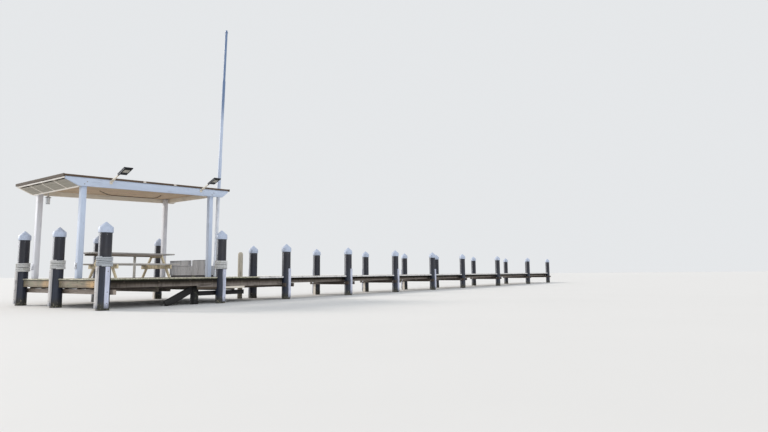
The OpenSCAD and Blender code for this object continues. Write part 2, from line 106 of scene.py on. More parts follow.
# From the middle of a pile to the outer face of its crosshead, in metres
END_CROSSHEAD_FACE = 0.2333
PAIR_CROSSHEAD_FACE = 0.2253

# Shelter, in metres. SLOPE carries x along the roof's line, y across it and z square to it
POST_X = (0.1, 4.31)
POST_Y = (1.5, 4.1)
POST_HALF = 0.07
BEAM_LOW = 3.335
BEAM_THICK = 0.075
BEAM_FACE_Y = (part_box("shelter_front_beam")[0].y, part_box("shelter_far_beam")[1].y)
CEILING_Y = (BEAM_FACE_Y[0] + BEAM_THICK + 0.002, BEAM_FACE_Y[1] - BEAM_THICK - 0.002)
CEILING_LOW = 0.1402
CEILING_HIGH = 0.1597
CEILING_TONE_FROM = 1.427
CEILING_TONE_PITCH = 0.0947
ROOF_Y = (BEAM_FACE_Y[0] - 0.03, BEAM_FACE_Y[1] + 0.03)
ROOF_LOW = 0.2353
ROOF_FALL = 0.046
SLOPE_LENGTH = 5.3917
SLOPE = Matrix.Translation((-0.436, 0.0, 3.310344)) @ Matrix.Rotation(-math.atan(ROOF_FALL), 4, "Y")
LIGHTS_ALONG = (1.236, 4.271)
CABLE_RADIUS = 0.0105
CABLE_ROUTE = (
    (1.84, 3.12), (1.98, 3.29), (2.13, 3.46), (2.28, 3.63), (2.42, 3.79), (2.54, 3.91), (2.68, 3.97),
    (2.87, 3.99), (3.14, 3.975), (3.51, 3.99), (3.80, 3.995), (4.04, 4.0), (4.17, 3.96), (4.19, 3.83),
    (4.14, 3.62), (4.04, 3.38), (3.935, 3.12),
)

# Furniture, in metres
TABLE_FRAME_X = (1.28, 3.02)
TABLE_Y = 2.5
TABLE_BOARD_LOW = 2.13
TABLE_BOARD_PITCH = 0.1492
TABLE_TOP = 1.57
BENCH_BOARD_PITCH = 0.1
BENCH_TONE_FROM = 1.83

# The photograph's camera: place in metres, turns in degrees, focal length and picture in pixels, sensor in mm
CAMERA_PLACE = (-7.1245, -13.5077, 0.8693)
CAMERA_HEADING = 34.29
CAMERA_PITCH = 6.21
CAMERA_ROLL = 0.5
FOCAL_PIXELS = 527.0
PHOTO_PIXELS = 768.0
SENSOR_WIDTH = 36.0


# Sizes and colours


def length(name, description, value):
    """A length in metres that a user may change."""
    return FloatProperty(
        name=name, description=description, default=value, min=0.0, unit="LENGTH", subtype="DISTANCE",
    )


def count(name, description, value, least, most=200):
    """A whole number that a user may change."""
    return IntProperty(name=name, description=description, default=value, min=least, max=most)


def tint(name, description, value):
    """A colour that a user may change."""
    return FloatVectorProperty(
        name=name, description=description, default=value, size=3, min=0.0, max=1.0, subtype="COLOR",
    )


class JettySizes(bpy.types.PropertyGroup):
    """Sizes of the boards, rope, roof sheet and fixings"""

    board_pitch: length("Board pitch", "Distance from one deck board to the next", BOARD_PITCH)
    board_gap: length("Board gap", "Gap between deck boards", 0.007)
    board_edge: length("Board edge", "Rounding of a deck board's edges", 0.004)
    timber_edge: length("Timber edge", "Rounding of the framing's edges", 0.005)
    screw_radius: length("Screw radius", "Radius of a deck screw's head", 0.006)
    bolt_radius: length("Bolt radius", "Radius of a bolt's hexagon head", 0.014)
    rope_radius: length("Rope radius", "Radius of the lashing rope", 0.0212)
    strand_lay: length("Strand lay", "Length over which a strand of the rope goes round once", 0.115)
    sheet_pitch: length("Sheet pitch", "Distance between ribs of the roof sheet", 0.076)
    sheet_rise: length("Sheet rise", "Half the depth of the roof sheet's ribs", 0.009)
    rope_turns: count("Rope turns", "Turns of rope in each lashing", 6, 2, 6)
    ceiling_boards: count("Ceiling boards", "Boards across the shelter's ceiling", 29, 8)
    growth_count: count("Shell count", "Shells on each pile at the waterline", 46, 0)


class JettyColours(bpy.types.PropertyGroup):
    """Colours of the jetty's finishes"""

    sleeve: tint("Sleeve", "Black plastic pile sleeves", (0.010, 0.011, 0.019))
    cap: tint("Cap", "White plastic pile caps", (0.51, 0.58, 0.73))
    # Painted shade: the strips' blue-grey white is their sky-lit shade
    strip: tint("Rubbing strip", "Timber strips on the piles", (0.63, 0.66, 0.80))
    rope: tint("Rope", "Old rope", (0.66, 0.66, 0.66))
    shell: tint("Shells", "Shells at the waterline", (0.33, 0.30, 0.22))
    # Partly painted shade: besides the wet, this near black stands for the shade under the platform and the
    # bench
    dark_timber: tint("Dark timber", "Wet timber at the waterline", (0.020, 0.017, 0.018))
    side_board: tint("Side boards", "Stained boards along the sides", (0.052, 0.040, 0.030))
    # The paler foot is where the painted shade from the deck's lip runs out
    side_foot: tint("Side boards' foot", "Paler lower edge of the side boards", (0.26, 0.225, 0.20))
    crosshead: tint("Crossheads", "Crossheads across the lake end", (0.39, 0.325, 0.275))
    # Partly painted shade: these timbers are darkened for the shade under the deck
    frame_timber: tint("Framing timber", "Joists and the walkway's crossheads", (0.075, 0.056, 0.046))
    deck: tint("Deck boards", "Weathered deck boards", (0.40, 0.37, 0.33))
    board_end: tint("Board ends", "Pale ends of the deck boards", (0.82, 0.80, 0.79))
    end_board: tint("End board", "Sunlit board across the lake end", (0.27, 0.21, 0.14))
    moss: tint("Moss", "Moss and algae on damp timber", (0.19, 0.19, 0.11))
    bare_timber: tint("Bare timber", "Mooring post", (0.56, 0.51, 0.42))
    # Painted shade: the shelter's white paint is given a blue-grey for its sky-lit shade
    paint: tint("Paint", "White paint of the shelter", (0.57, 0.65, 0.80))
    # Painted light: the far posts' paler paint stands in for the bounce light that reaches them under the roof
    far_paint_lit: tint("Far paint", "Duller paint of the far posts", (0.79, 0.79, 0.83))
    # Painted light: this cream is the same white paint warmed for the sun and bounce light on these parts
    cream: tint("Cream paint", "Warmer paint on the far beam, end beams and rafters", (0.81, 0.74, 0.63))
    lath: tint("Laths", "Cream laths under the eave and on the roof's edge", (0.84, 0.78, 0.70))
    # Painted shade: the eave's grey is the shelter's white paint as it looks in shade
    eave: tint("Eave boards", "Grey paint under the lake end eave", (0.39, 0.36, 0.30))
    ceiling: tint("Ceiling boards", "Tan boards under the roof", (0.68, 0.51, 0.35))
    roof: tint("Roof", "Brown roof sheet, its boarding and side boards", (0.115, 0.075, 0.05))
    roof_end: tint("Roof ends", "Dark boards across the roof's ends", (0.085, 0.058, 0.035))
    cable: tint("Cable", "Brown cable under the ceiling", (0.085, 0.050, 0.028))
    metal: tint("Grey metal", "Hanging lamp and the flagpole's foot", (0.58, 0.60, 0.62))
    zinc: tint("Zinc", "Screws and bolts that stay grey", (0.42, 0.42, 0.43))
    rusty: tint("Rusty fixings", "Bolts that have rusted", (0.12, 0.085, 0.06))
    light_case: tint("Light cases", "Cases of the flat lights", (0.012, 0.013, 0.017))
    light_shade: tint("Light panels", "Panels under the flat lights", (0.52, 0.50, 0.44))
    pole: tint("Flagpole", "Painted flagpole", (0.52, 0.60, 0.76))
    grey_timber: tint("Grey timber", "Table top and seats", (0.50, 0.48, 0.46))
    rail: tint("Table rails", "Shaded rails under the table top", (0.25, 0.21, 0.18))
    table_frame: tint("Table frames", "Pale timber under the table", (0.78, 0.67, 0.46))
    bench: tint("Bench", "Grey boards of the bench", (0.49, 0.50, 0.53))
    cleat: tint("Cleats", "Cleats on the shelter posts", (0.52, 0.53, 0.56))
    floor: tint("Floor", "Studio floor", (0.78, 0.78, 0.78))


def sizes():
    """The sizes as they are set now."""
    return bpy.context.scene.jetty_sizes


def colour(name):
    """One of the colours as it is set now, for a material's socket."""
    return (*getattr(bpy.context.scene.jetty_colours, name), 1.0)


# Shader maths


class Wire:
    """A socket of a material, so that shader maths reads as an expression."""

    def __init__(self, tree, socket=None):
        self.tree = tree
        self.socket = socket

    def node(self, kind, settings=None, sockets=None, out=0):
        """Adds a node, sets it up, then fills its sockets with values or links."""
        made = self.tree.nodes.new(kind)
        for key, value in (settings or {}).items():
            setattr(made, key, value)
        for key, value in (sockets or {}).items():
            if isinstance(value, Wire):
                self.tree.links.new(value.socket, made.inputs[key])
            else:
                made.inputs[key].default_value = value
        return Wire(self.tree, made.outputs[out]) if len(made.outputs) else None

    def maths(self, operation, *values):
        """A Math node on values that may be wires or numbers."""
        return self.node("ShaderNodeMath", {"operation": operation}, dict(enumerate(values)))

    def __add__(self, other):
        return self.maths("ADD", self, other)

    def __radd__(self, other):
        return self.maths("ADD", other, self)

    def __sub__(self, other):
        return self.maths("SUBTRACT", self, other)

    def __rsub__(self, other):
        return self.maths("SUBTRACT", other, self)

    def __mul__(self, other):
        return self.maths("MULTIPLY", self, other)

    def __rmul__(self, other):
        return self.maths("MULTIPLY", other, self)

    def floor(self):
        """The whole number at or below the value."""
        return self.maths("FLOOR", self)

    def between(self, low, high):
        """0 below low, 1 above high and smooth between them; low may be the larger."""
        limits = {"Value": self, "From Min": low, "From Max": high}
        return self.node("ShaderNodeMapRange", {"interpolation_type": "SMOOTHSTEP"}, limits)

    def line(self, sharpness):
        """1 where the value is near a half, falling off on both sides."""
        off = self.maths("ABSOLUTE", self - 0.5)
        return 1 - self.maths("MINIMUM", off * sharpness, 1.0)

    def mixed(self, first, second):
        """Colour first where this factor is 0 and second where it is 1."""
        ends = {"Factor": self, 6: first, 7: second}
        return self.node("ShaderNodeMix", {"data_type": "RGBA"}, ends, 2)

    def part(self, axis):
        """One coordinate of a place."""
        return self.node("ShaderNodeSeparateXYZ", None, {0: self}, axis)

    def stretched(self, *scale):
        """A place scaled along each axis, so that noise on it runs in streaks."""
        return self.node("ShaderNodeMapping", None, {"Vector": self, "Scale": scale})

    def noise(self, scale, detail=3.0, rough=0.55, twist=0.0):
        """Cloudy noise from 0 to 1 at a place."""
        sockets = {"Vector": self, "Scale": scale, "Detail": detail, "Roughness": rough, "Distortion": twist}
        return self.node("ShaderNodeTexNoise", None, sockets)


def shaded(base, factor):
    """A colour made darker or paler by a factor."""
    return (*(min(1.0, part * factor) for part in base[:3]), 1.0)


def begin_finish(name):
    """A new empty material and the Object coordinates in it."""
    material = bpy.data.materials.new(name)
    material.use_nodes = True
    material.node_tree.nodes.clear()
    wire = Wire(material.node_tree)
    return material, wire.node("ShaderNodeTexCoord", out="Object")


def end_finish(material, tone, roughness, bump=None, depth=0.002, **fixed):
    """Closes a material with its colour, roughness, bump of a depth in metres and fixed sockets."""
    wire = Wire(material.node_tree)
    sockets = {"Base Color": tone, "Roughness": roughness}
    sockets.update({key.replace("_", " "): value for key, value in fixed.items()})
    if bump is not None:
        sockets["Normal"] = wire.node("ShaderNodeBump", None, {"Height": bump, "Distance": depth}, "Normal")
    surface = wire.node("ShaderNodeBsdfPrincipled", None, sockets, "BSDF")
    wire.node("ShaderNodeOutputMaterial", None, {"Surface": surface})
    return material


# Finishes

GRAIN = {"X": (1.0, 22.0, 22.0), "Y": (22.0, 1.0, 22.0), "Z": (22.0, 22.0, 1.0)}


def timber_parts(place, along, pitch=None, start=0.0, across="X"):
    """Fibre, blotch, crack and board tone for timber whose grain runs along an axis."""
    tone = None
    grain_place = place
    if pitch:
        board = ((place.part(across) - start) * (1.0 / pitch)).floor()
        tone = board.node("ShaderNodeTexWhiteNoise", {"noise_dimensions": "1D"}, {"W": board}, "Value")
        shift = board.node("ShaderNodeCombineXYZ", None, {0: tone * 13.0, 1: tone * 7.0, 2: tone * 3.0})
        grain_place = place.node("ShaderNodeVectorMath", {"operation": "ADD"}, {0: place, 1: shift})
    stretched = grain_place.stretched(*GRAIN[along])
    fibre = stretched.noise(2.4, 6.0, 0.65, 0.25)
    crack = stretched.noise(0.75, 2.0, 0.5, 0.15).line(22.0) * grain_place.noise(2.2, 2.0).between(0.5, 0.62)
    blotch = grain_place.noise(1.4, 4.0, 0.6)
    return fibre, crack, blotch, tone


def damp(place, low, high):
    """1 at the waterline, fading out between two heights, with an uneven edge."""
    return (place.part("Z") + place.noise(7.0, 3.0) * 0.12 - 0.06).between(high, low)


def timber(
    name, base, along="X", pitch=None, start=0.0, across="X", moss=0.0, wet=None, contrast=1.0, ends=None,
):
    """Weathered timber: fibres, cracks, blotches, a tone for each board, moss and a damp foot."""
    material, place = begin_finish(name)
    fibre, crack, blotch, tone = timber_parts(place, along, pitch, start, across)
    pale = shaded(base, 1.0 + 0.35 * contrast)
    dark = shaded(base, 1.0 - 0.5 * contrast)
    skin = fibre.between(0.3, 0.72).mixed(dark, pale)
    skin = (blotch.between(0.35, 0.7) * 0.45).mixed(skin, shaded(base, 0.8))
    if tone:
        skin = (tone * 0.45).mixed(skin, shaded(base, 0.62))
    if ends:
        skin = ends(place, skin)
    skin = (crack * 0.75).mixed(skin, shaded(base, 0.18))
    if moss:
        patches = place.noise(3.1, 5.0, 0.65).between(0.62 - 0.18 * moss, 0.72)
        skin = (patches * 0.8).mixed(skin, colour("moss"))
    rough = 0.78 + fibre * 0.15
    if wet:
        soaked = damp(place, *wet)
        skin = (soaked * 0.85).mixed(skin, shaded(base, 0.22))
        rough = rough - soaked * 0.35
    return end_finish(material, skin, rough, fibre * 0.5 - crack, 0.0035)


def painted(name, base, along="Z", wear=0.5, far_lit_base=None):
    """Brushed paint on timber, dulled and chipped back to grey wood; the far row may take a paler paint, which
    is painted light for the bounce light under the roof.
    """
    material, place = begin_finish(name)
    worn_wood = (0.30, 0.27, 0.24, 1.0)
    fibre, crack, blotch, _ = timber_parts(place, along)
    skin = fibre.between(0.25, 0.75).mixed(shaded(base, 0.93), shaded(base, 1.03))
    skin = (blotch.between(0.42, 0.75) * 0.35).mixed(skin, shaded(base, 0.82))
    if far_lit_base:
        # Painted light: the far row turns to the paler paint for the bounce light under the roof
        skin = (place.part("Y").between(2.6, 3.0) * 0.85).mixed(skin, far_lit_base)
    stretch = GRAIN[along]
    flakes = place.stretched(*(0.25 * part + 1.5 for part in stretch)).noise(2.6, 5.0, 0.7)
    chips = flakes.between(0.74 - 0.1 * wear, 0.77 - 0.1 * wear)
    skin = (chips * 0.8).mixed(skin, worn_wood)
    skin = (crack * 0.35).mixed(skin, shaded(base, 0.45))
    return end_finish(material, skin, 0.66 + chips * 0.2, fibre * 0.25 - chips * 0.8 - crack * 0.4, 0.0015)


def metal_finish(name, base, rough=0.45, metallic=1.0, stain=0.4):
    """Metal or coated metal, clouded and stained with rust."""
    material, place = begin_finish(name)
    rust_tone = (0.19, 0.085, 0.04, 1.0)
    cloud = place.noise(28.0, 5.0, 0.6)
    rust = place.noise(11.0, 5.0, 0.7).between(0.6, 0.75) * stain
    skin = cloud.between(0.3, 0.7).mixed(shaded(base, 0.8), shaded(base, 1.1))
    skin = rust.mixed(skin, rust_tone)
    return end_finish(material, skin, rough + cloud * 0.15 + rust * 0.3, cloud, 0.0004, Metallic=metallic)


def sleeve_finish():
    """Black plastic with faint vertical scuffs, dust, a blue-grey lower half that is a painted reflection of
    the water, and a slimy foot.
    """
    material, place = begin_finish("sleeve_plastic")
    base = colour("sleeve")
    dust = (0.045, 0.04, 0.042, 1.0)
    painted_water_reflection = (0.024, 0.032, 0.056, 1.0)
    slimy = (0.05, 0.046, 0.026, 1.0)
    scuffs = place.stretched(26.0, 26.0, 0.8).noise(2.0, 5.0, 0.6)
    cloud = place.noise(2.3, 4.0, 0.6)
    skin = scuffs.between(0.45, 0.8).mixed(base, shaded(base, 2.6))
    skin = (cloud.between(0.45, 0.75) * 0.5).mixed(skin, dust)
    # Painted reflection: the lower half turns blue-grey as if it caught light off the water
    skin = (place.part("Z").between(1.5, 0.5) * scuffs.between(0.25, 0.6)).mixed(skin, painted_water_reflection)
    slime = damp(place, 0.05, 0.30)
    skin = (slime * 0.75).mixed(skin, slimy)
    rough = 0.34 + cloud * 0.12 + slime * 0.2
    return end_finish(material, skin, rough, scuffs * 0.4 + slime * place.noise(60.0, 3.0), 0.002)


def cap_finish():
    """White plastic, chalky and a little soiled below the point."""
    material, place = begin_finish("cap_plastic")
    base = colour("cap")
    soil = (0.42, 0.40, 0.37, 1.0)
    cloud = place.noise(9.0, 4.0, 0.6)
    runs = place.stretched(30.0, 30.0, 2.0).noise(2.0, 4.0)
    skin = (cloud.between(0.45, 0.8) * 0.4).mixed(base, shaded(base, 0.8))
    skin = (runs.between(0.6, 0.75) * 0.3).mixed(skin, soil)
    return end_finish(material, skin, 0.42 + cloud * 0.1, cloud, 0.0006)


def strip_finish():
    """Fender strips, wet at the foot, with painted light: blue-grey white along the sides for their sky-lit
    shade and cream across the lake end where the sun falls.
    """
    sunlit_cream = (0.60, 0.575, 0.54, 1.0)

    def sunlit_lake_end(place, skin):
        # Painted sunlight: the strips across the lake end turn cream where the sun falls on them
        return (place.part("X").between(-0.12, -0.16) * 0.8).mixed(skin, sunlit_cream)

    return timber("strip_timber", colour("strip"), "Z", wet=(0.04, 0.22), contrast=0.45, ends=sunlit_lake_end)


def rope_finish():
    """Old rope: fuzzy, greenish in patches, and darker and greyer at the corner pile as painted shade."""
    material, place = begin_finish("old_rope")
    base = colour("rope")
    greenish = (0.42, 0.43, 0.33, 1.0)
    grey = (0.47, 0.50, 0.54, 1.0)
    fuzz = place.noise(160.0, 3.0)
    cloud = place.noise(7.0, 4.0, 0.65)
    skin = fuzz.between(0.3, 0.7).mixed(shaded(base, 0.78), shaded(base, 1.25))
    skin = (cloud.between(0.48, 0.68) * 0.4).mixed(skin, greenish)
    # Painted shade: the turns round the corner pile go darker and bluer
    corner = place.part("Y").between(1.0, 0.5) * place.part("X").between(1.0, 0.5)
    skin = (corner * fuzz.between(0.2, 0.5)).mixed(skin, grey)
    return end_finish(material, skin, 0.92, fuzz, 0.002)


def pole_finish():
    """Painted pole: paler and bluer low down as painted light on its shaded side, deep blue above."""
    material, place = begin_finish("pole_paint")
    base = colour("pole")
    chalky = (0.82, 0.86, 0.94, 1.0)
    deep_blue = (0.13, 0.20, 0.35, 1.0)
    height = place.part("Z")
    cloud = place.noise(9.0, 4.0, 0.6)
    # Painted light: the lower pole is made paler than its paint to look lit on its shaded side
    skin = (height + cloud * 0.6).between(4.6, 3.4).mixed(base, chalky)
    skin = (height + cloud * 0.5).between(6.4, 7.5).mixed(skin, deep_blue)
    skin = (cloud.between(0.45, 0.75) * 0.3).mixed(skin, shaded(base, 0.7))
    return end_finish(material, skin, 0.34 + cloud * 0.12, cloud, 0.0004)


def deck_finish():
    """Weathered boards, each of its own tone, with pale ends along both sides and painted shade low on the
    platform's board ends.
    """
    end = colour("board_end")
    dry_end = (0.76, 0.73, 0.58, 1.0)
    green_end = (0.20, 0.19, 0.11, 1.0)
    board_end_shadow = (0.045, 0.045, 0.022, 1.0)

    def pale_ends(place, skin):
        side = place.part("Y")
        walk = place.part("X").between(5.1, 5.3)
        edge = side.between(-0.024, -0.033) + side.between(WALK_HIGH.y - 0.016, WALK_HIGH.y - 0.007) * walk
        edge = edge.maths("MAXIMUM", edge, place.part("X").between(-0.034, -0.0385))
        rings = place.stretched(30.0, 4.0, 60.0).noise(2.0, 3.0)
        sawn = rings.between(0.3, 0.7).mixed(shaded(end, 0.78), shaded(end, 1.12))
        mossy = rings.between(0.35, 0.6).mixed(green_end, dry_end)
        # Painted shade: the platform's board ends go dark below their lit top edge
        mossy = (place.part("Z") + rings * 0.02).between(0.792, 0.774).mixed(mossy, board_end_shadow)
        return edge.mixed(skin, walk.mixed(mossy, sawn))

    size = sizes()
    start = DECK_LOW.x - size.board_gap / 2
    return timber("deck_timber", colour("deck"), "Y", size.board_pitch, start, "X", moss=0.1, ends=pale_ends)


def crosshead_finish():
    """Crossheads of the platform: pale across the lake end, darker by the side pile."""
    shady = (0.15, 0.125, 0.105, 1.0)

    def inner(place, skin):
        return (place.part("X").between(1.0, 3.0) * 0.85).mixed(skin, shady)

    return timber("crosshead_timber", colour("crosshead"), "Y", contrast=0.6, ends=inner)


def table_frame_finish():
    """The table's frames: pale yellowish timber, and a greyer leg halfway."""
    grey = (0.66, 0.655, 0.65, 1.0)

    def middle(place, skin):
        along = place.part("X")
        half = along.between(1.6, 1.7) * along.between(2.7, 2.6)
        return (half * 0.8).mixed(skin, grey)

    return timber("frame_timber_pale", colour("table_frame"), "Z", contrast=0.6, ends=middle)


def end_board_finish():
    """The sunlit end board: tan, mossy along its middle, orange near the piles."""
    material, place = begin_finish("end_timber")
    fibre, crack, blotch, _ = timber_parts(place, "Y")
    base = colour("end_board")
    orange = (0.95, 0.58, 0.24, 1.0)
    skin = fibre.between(0.3, 0.72).mixed(shaded(base, 0.68), shaded(base, 1.3))
    side = place.part("Y")
    clean = side.between(0.95, 0.45) + side.between(3.45, 2.95) * side.between(2.4, 2.5)
    moss = place.stretched(1.0, 1.0, 3.0).noise(2.6, 5.0, 0.62).between(0.40, 0.60) * (1 - clean * 0.9)
    skin = (moss * 0.62).mixed(skin, colour("moss"))
    glow = clean * blotch.between(0.30, 0.62)
    skin = (glow * 0.85).mixed(skin, orange)
    skin = (place.part("Z").between(0.62, 0.555) * 0.5).mixed(skin, shaded(base, 0.45))
    skin = (crack * 0.75).mixed(skin, shaded(base, 0.2))
    return end_finish(material, skin, 0.8, fibre * 0.5 - crack, 0.0035)


def side_board_finish(name, foot, head, shade_below=False):
    """Stained boards with painted shade: near black under the deck's lip and paler towards the foot, partly
    stain and partly the lip's shade; perhaps darker below the foot as painted shade.
    """
    material, place = begin_finish(name)
    fibre, crack, blotch, _ = timber_parts(place, "X")
    base = colour("side_board")
    # Paler colour for the foot, where the painted shade from the lip runs out
    bare = colour("side_foot")
    lip_shadow = (0.007, 0.006, 0.004, 1.0)
    depth = head - foot
    height = place.part("Z")
    streaks = place.stretched(9.0, 9.0, 0.9).noise(2.2, 5.0, 0.65)
    skin = fibre.between(0.3, 0.72).mixed(shaded(base, 0.62), shaded(base, 1.4))
    # Painted shade, partly stain: the boards grow paler from the lip down to the foot
    pale = (height + streaks * 0.08 - 0.04).between(foot + depth * 0.72, foot + depth * 0.08)
    pale = pale * (place.part("X").between(0.2, 1.6) * 0.45 + 0.55)
    skin = pale.mixed(skin, fibre.between(0.3, 0.72).mixed(shaded(bare, 0.75), shaded(bare, 1.2)))
    skin = (streaks.between(0.5, 0.72) * 0.35).mixed(skin, shaded(base, 0.6))
    skin = (blotch.between(0.55, 0.7) * 0.2).mixed(skin, colour("moss"))
    # Painted shade: near black right under the deck's lip
    shade = (height + streaks * 0.05).between(foot + depth * 0.62, head)
    skin = (shade * 0.92).mixed(skin, lip_shadow)
    # Painted shade below the foot, deeper past the side pile
    if shade_below:
        old = place.part("X").between(4.5, 4.65).mixed(shaded(base, 1.9), shaded(base, 0.7))
        skin = height.between(foot, foot - 0.006).mixed(skin, old)
    skin = (crack * 0.75).mixed(skin, shaded(base, 0.2))
    return end_finish(material, skin, 0.82 + fibre * 0.1, fibre * 0.5 - crack, 0.0035, Specular_IOR_Level=0.2)


def glass_finish():
    """Frosted glass of the hanging lamp."""
    material, place = begin_finish("frosted_glass")
    cloud = place.noise(20.0, 3.0)
    skin = cloud.between(0.3, 0.7).mixed((0.70, 0.74, 0.78, 1.0), (0.82, 0.85, 0.88, 1.0))
    return end_finish(material, skin, 0.18 + cloud * 0.1, Coat_Weight=0.4)


def cell_finish():
    """Dark glossy cells on a flat light's upper face."""
    material, place = begin_finish("light_cells")
    glint = place.noise(40.0, 2.0)
    skin = glint.between(0.3, 0.7).mixed((0.008, 0.010, 0.02, 1.0), (0.016, 0.022, 0.05, 1.0))
    return end_finish(material, skin, 0.16 + glint * 0.06)


def table_finish():
    """Grey boards of the table top, each of its own tone."""
    base = shaded(colour("grey_timber"), 0.95)
    return timber("table_timber", base, "X", TABLE_BOARD_PITCH, TABLE_BOARD_LOW, "Y", contrast=0.7)


def bench_finish():
    """Upright boards of the bench, each of its own tone."""
    base = colour("bench")
    return timber("bench_timber", base, "Z", BENCH_BOARD_PITCH, BENCH_TONE_FROM, "Y", contrast=0.5)


def ceiling_finish():
    """Boards under the roof, each of its own tone."""
    base = colour("ceiling")
    return timber("ceiling_timber", base, "X", CEILING_TONE_PITCH, CEILING_TONE_FROM, "Y", contrast=0.45)


def soaked_and_shaded_finish(name, along, factor=1.0, moss=0.15):
    """Near-black timber, damp near the waterline; its darkness is partly painted shade under the platform and
    the bench.
    """
    return timber(name, shaded(colour("dark_timber"), factor), along, moss=moss, wet=(0.05, 0.4))


FINISHES = {
    "sleeve": sleeve_finish,
    "cap": cap_finish,
    "strip": strip_finish,
    "rope": rope_finish,
    "shell": lambda: timber("shells", colour("shell"), "Z", moss=0.6, contrast=0.9),
    "dark_x": lambda: soaked_and_shaded_finish("dark_timber_x", "X"),
    "dark_y": lambda: soaked_and_shaded_finish("dark_timber_y", "Y"),
    "dark_z": lambda: soaked_and_shaded_finish("dark_timber_z", "Z", 0.4, 0.1),
    "crosshead": crosshead_finish,
    "frame_x": lambda: timber("frame_timber_x", colour("frame_timber"), "X", moss=0.1),
    "frame_y": lambda: timber("frame_timber_y", colour("frame_timber"), "Y", moss=0.1),
    "stringer": lambda: side_board_finish("stringer_timber", STRINGER_LOW, DECK_LOW.z),
    "side_board": lambda: side_board_finish("side_timber", JOIST_FOOT, DECK_LOW.z, True),
    "end_board": end_board_finish,
    "deck_board": deck_finish,
    "bare": lambda: timber("bare_timber", colour("bare_timber"), "Z", wet=(0.05, 0.35), contrast=0.7),
    "paint_x": lambda: painted("paint_x", colour("paint"), "X", 0.5),
    "paint_z": lambda: painted("paint_z", colour("paint"), "Z", 0.5, colour("far_paint_lit")),
    "cream_x": lambda: painted("cream_x", colour("cream"), "X", 0.6),
    "cream_y": lambda: painted("paint_y", colour("cream"), "Y", 0.7),
    "lath": lambda: painted("lath_paint", colour("lath"), "Y", 0.4),
    "eave": lambda: painted("eave_paint", colour("eave"), "Y", 0.5),
    "ceiling": ceiling_finish,
    "roof_end": lambda: timber("roof_timber", colour("roof_end"), "Y", contrast=0.8),
    "roof_side": lambda: timber("roof_side_timber", colour("roof"), "X", contrast=0.8),
    "roof_sheet": lambda: metal_finish("roof_sheet", shaded(colour("roof"), 1.1), 0.5, 0.0, 0.6),
    "cable": lambda: metal_finish("brown_cable", colour("cable"), 0.5, 0.0, 0.3),
    "metal": lambda: metal_finish("grey_metal", colour("metal"), 0.42, 0.6, 0.25),
    "fixing": lambda: metal_finish("zinc_fixing", colour("zinc"), 0.45, 1.0, 0.8),
    "rusty": lambda: metal_finish("rusty_fixing", colour("rusty"), 0.6, 0.3, 1.0),
    "cleat": lambda: metal_finish("cleat_metal", colour("cleat"), 0.5, 0.5, 0.5),
    "light_case": lambda: metal_finish("light_case", colour("light_case"), 0.5, 0.2, 0.1),
    "light_shade": lambda: metal_finish("light_shade", colour("light_shade"), 0.5, 0.0, 0.1),
    "light_cell": cell_finish,
    "lamp_glass": glass_finish,
    "pole": pole_finish,
    "table": table_finish,
    "rail": lambda: timber("rail_timber", colour("rail"), "X", contrast=0.6),
    "seat": lambda: timber("seat_timber", shaded(colour("grey_timber"), 1.3), "X", contrast=0.6),
    "table_frame": table_frame_finish,
    "bench": bench_finish,
}
MADE = {}


def finish_of(name):
    """The finish of that name, made when it is first asked for."""
    if name not in MADE:
        MADE[name] = FINISHES[name]()
    return MADE[name]


# Mesh helpers


def show(mesh, name, finish, replaced=(), angle=32.0):
    """Turns a bmesh into a piece of the jetty that rides on its one body."""
    data = bpy.data.meshes.new(name)
    mesh.to_mesh(data)
    mesh.free()
    piece = bpy.data.objects.new(name, data)
    bpy.context.scene.collection.objects.link(piece)
    for each in (finish,) if isinstance(finish, str) else finish:
        data.materials.append(finish_of(each))
    data.shade_smooth()
    data.set_sharp_from_angle(angle=math.radians(angle))
    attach(piece, "root")
    if replaced:
        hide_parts(*replaced)


def join(mesh, other):
    """Adds another mesh to a mesh and frees it."""
    data = bpy.data.meshes.new("joined")
    other.to_mesh(data)
    other.free()
    mesh.from_mesh(data)
    bpy.data.meshes.remove(data)


def round_edges(mesh, edges, width, segments=1):
    """Rounds edges and gives the faces next to them."""
    if not edges:
        return []
    return bmesh.ops.bevel(
        mesh, geom=edges, offset=width, offset_type="OFFSET", affect="EDGES", segments=segments,
        profile=0.5, material=-1, clamp_overlap=True,
    )["faces"]


def timber_box(mesh, low, high, edge=0.004, place=None, index=0):
    """A box between two corners with rounded edges, put in place by a matrix."""
    low, high = Vector(low), Vector(high)
    size = Matrix.Diagonal((*(high - low), 1.0))
    verts = bmesh.ops.create_cube(mesh, size=1.0, matrix=Matrix.Translation((low + high) / 2) @ size)["verts"]
    if edge:
        edges = list({line for vert in verts for line in vert.link_edges})
        verts = list({vert for face in round_edges(mesh, edges, edge) for vert in face.verts})
    if place is not None:
        bmesh.ops.transform(mesh, matrix=place, verts=verts)
    if index:
        for face in {face for vert in verts for face in vert.link_faces}:
            face.material_index = index


def disc(mesh, at, along, radius, depth, sides, tip=None):
    """A short cylinder or cone that stands on a point and faces along a direction."""
    turn = Vector(along).to_track_quat("Z", "Y").to_matrix().to_4x4()
    lift = Matrix.Translation((0.0, 0.0, depth / 2))
    bmesh.ops.create_cone(
        mesh, cap_ends=True, segments=sides, radius1=radius, radius2=radius if tip is None else tip,
        depth=depth, matrix=Matrix.Translation(at) @ turn @ lift,
    )


def bolt(mesh, at, along, radius=None):
    """A washer and a hexagon head on a face."""
    radius = radius or sizes().bolt_radius
    along = Vector(along).normalized()
    at = Vector(at) - along * 0.0005
    disc(mesh, at, along, radius * 1.8, 0.0035, 16)
    disc(mesh, at + along * 0.003, along, radius, radius * 0.75, 6, radius * 0.94)


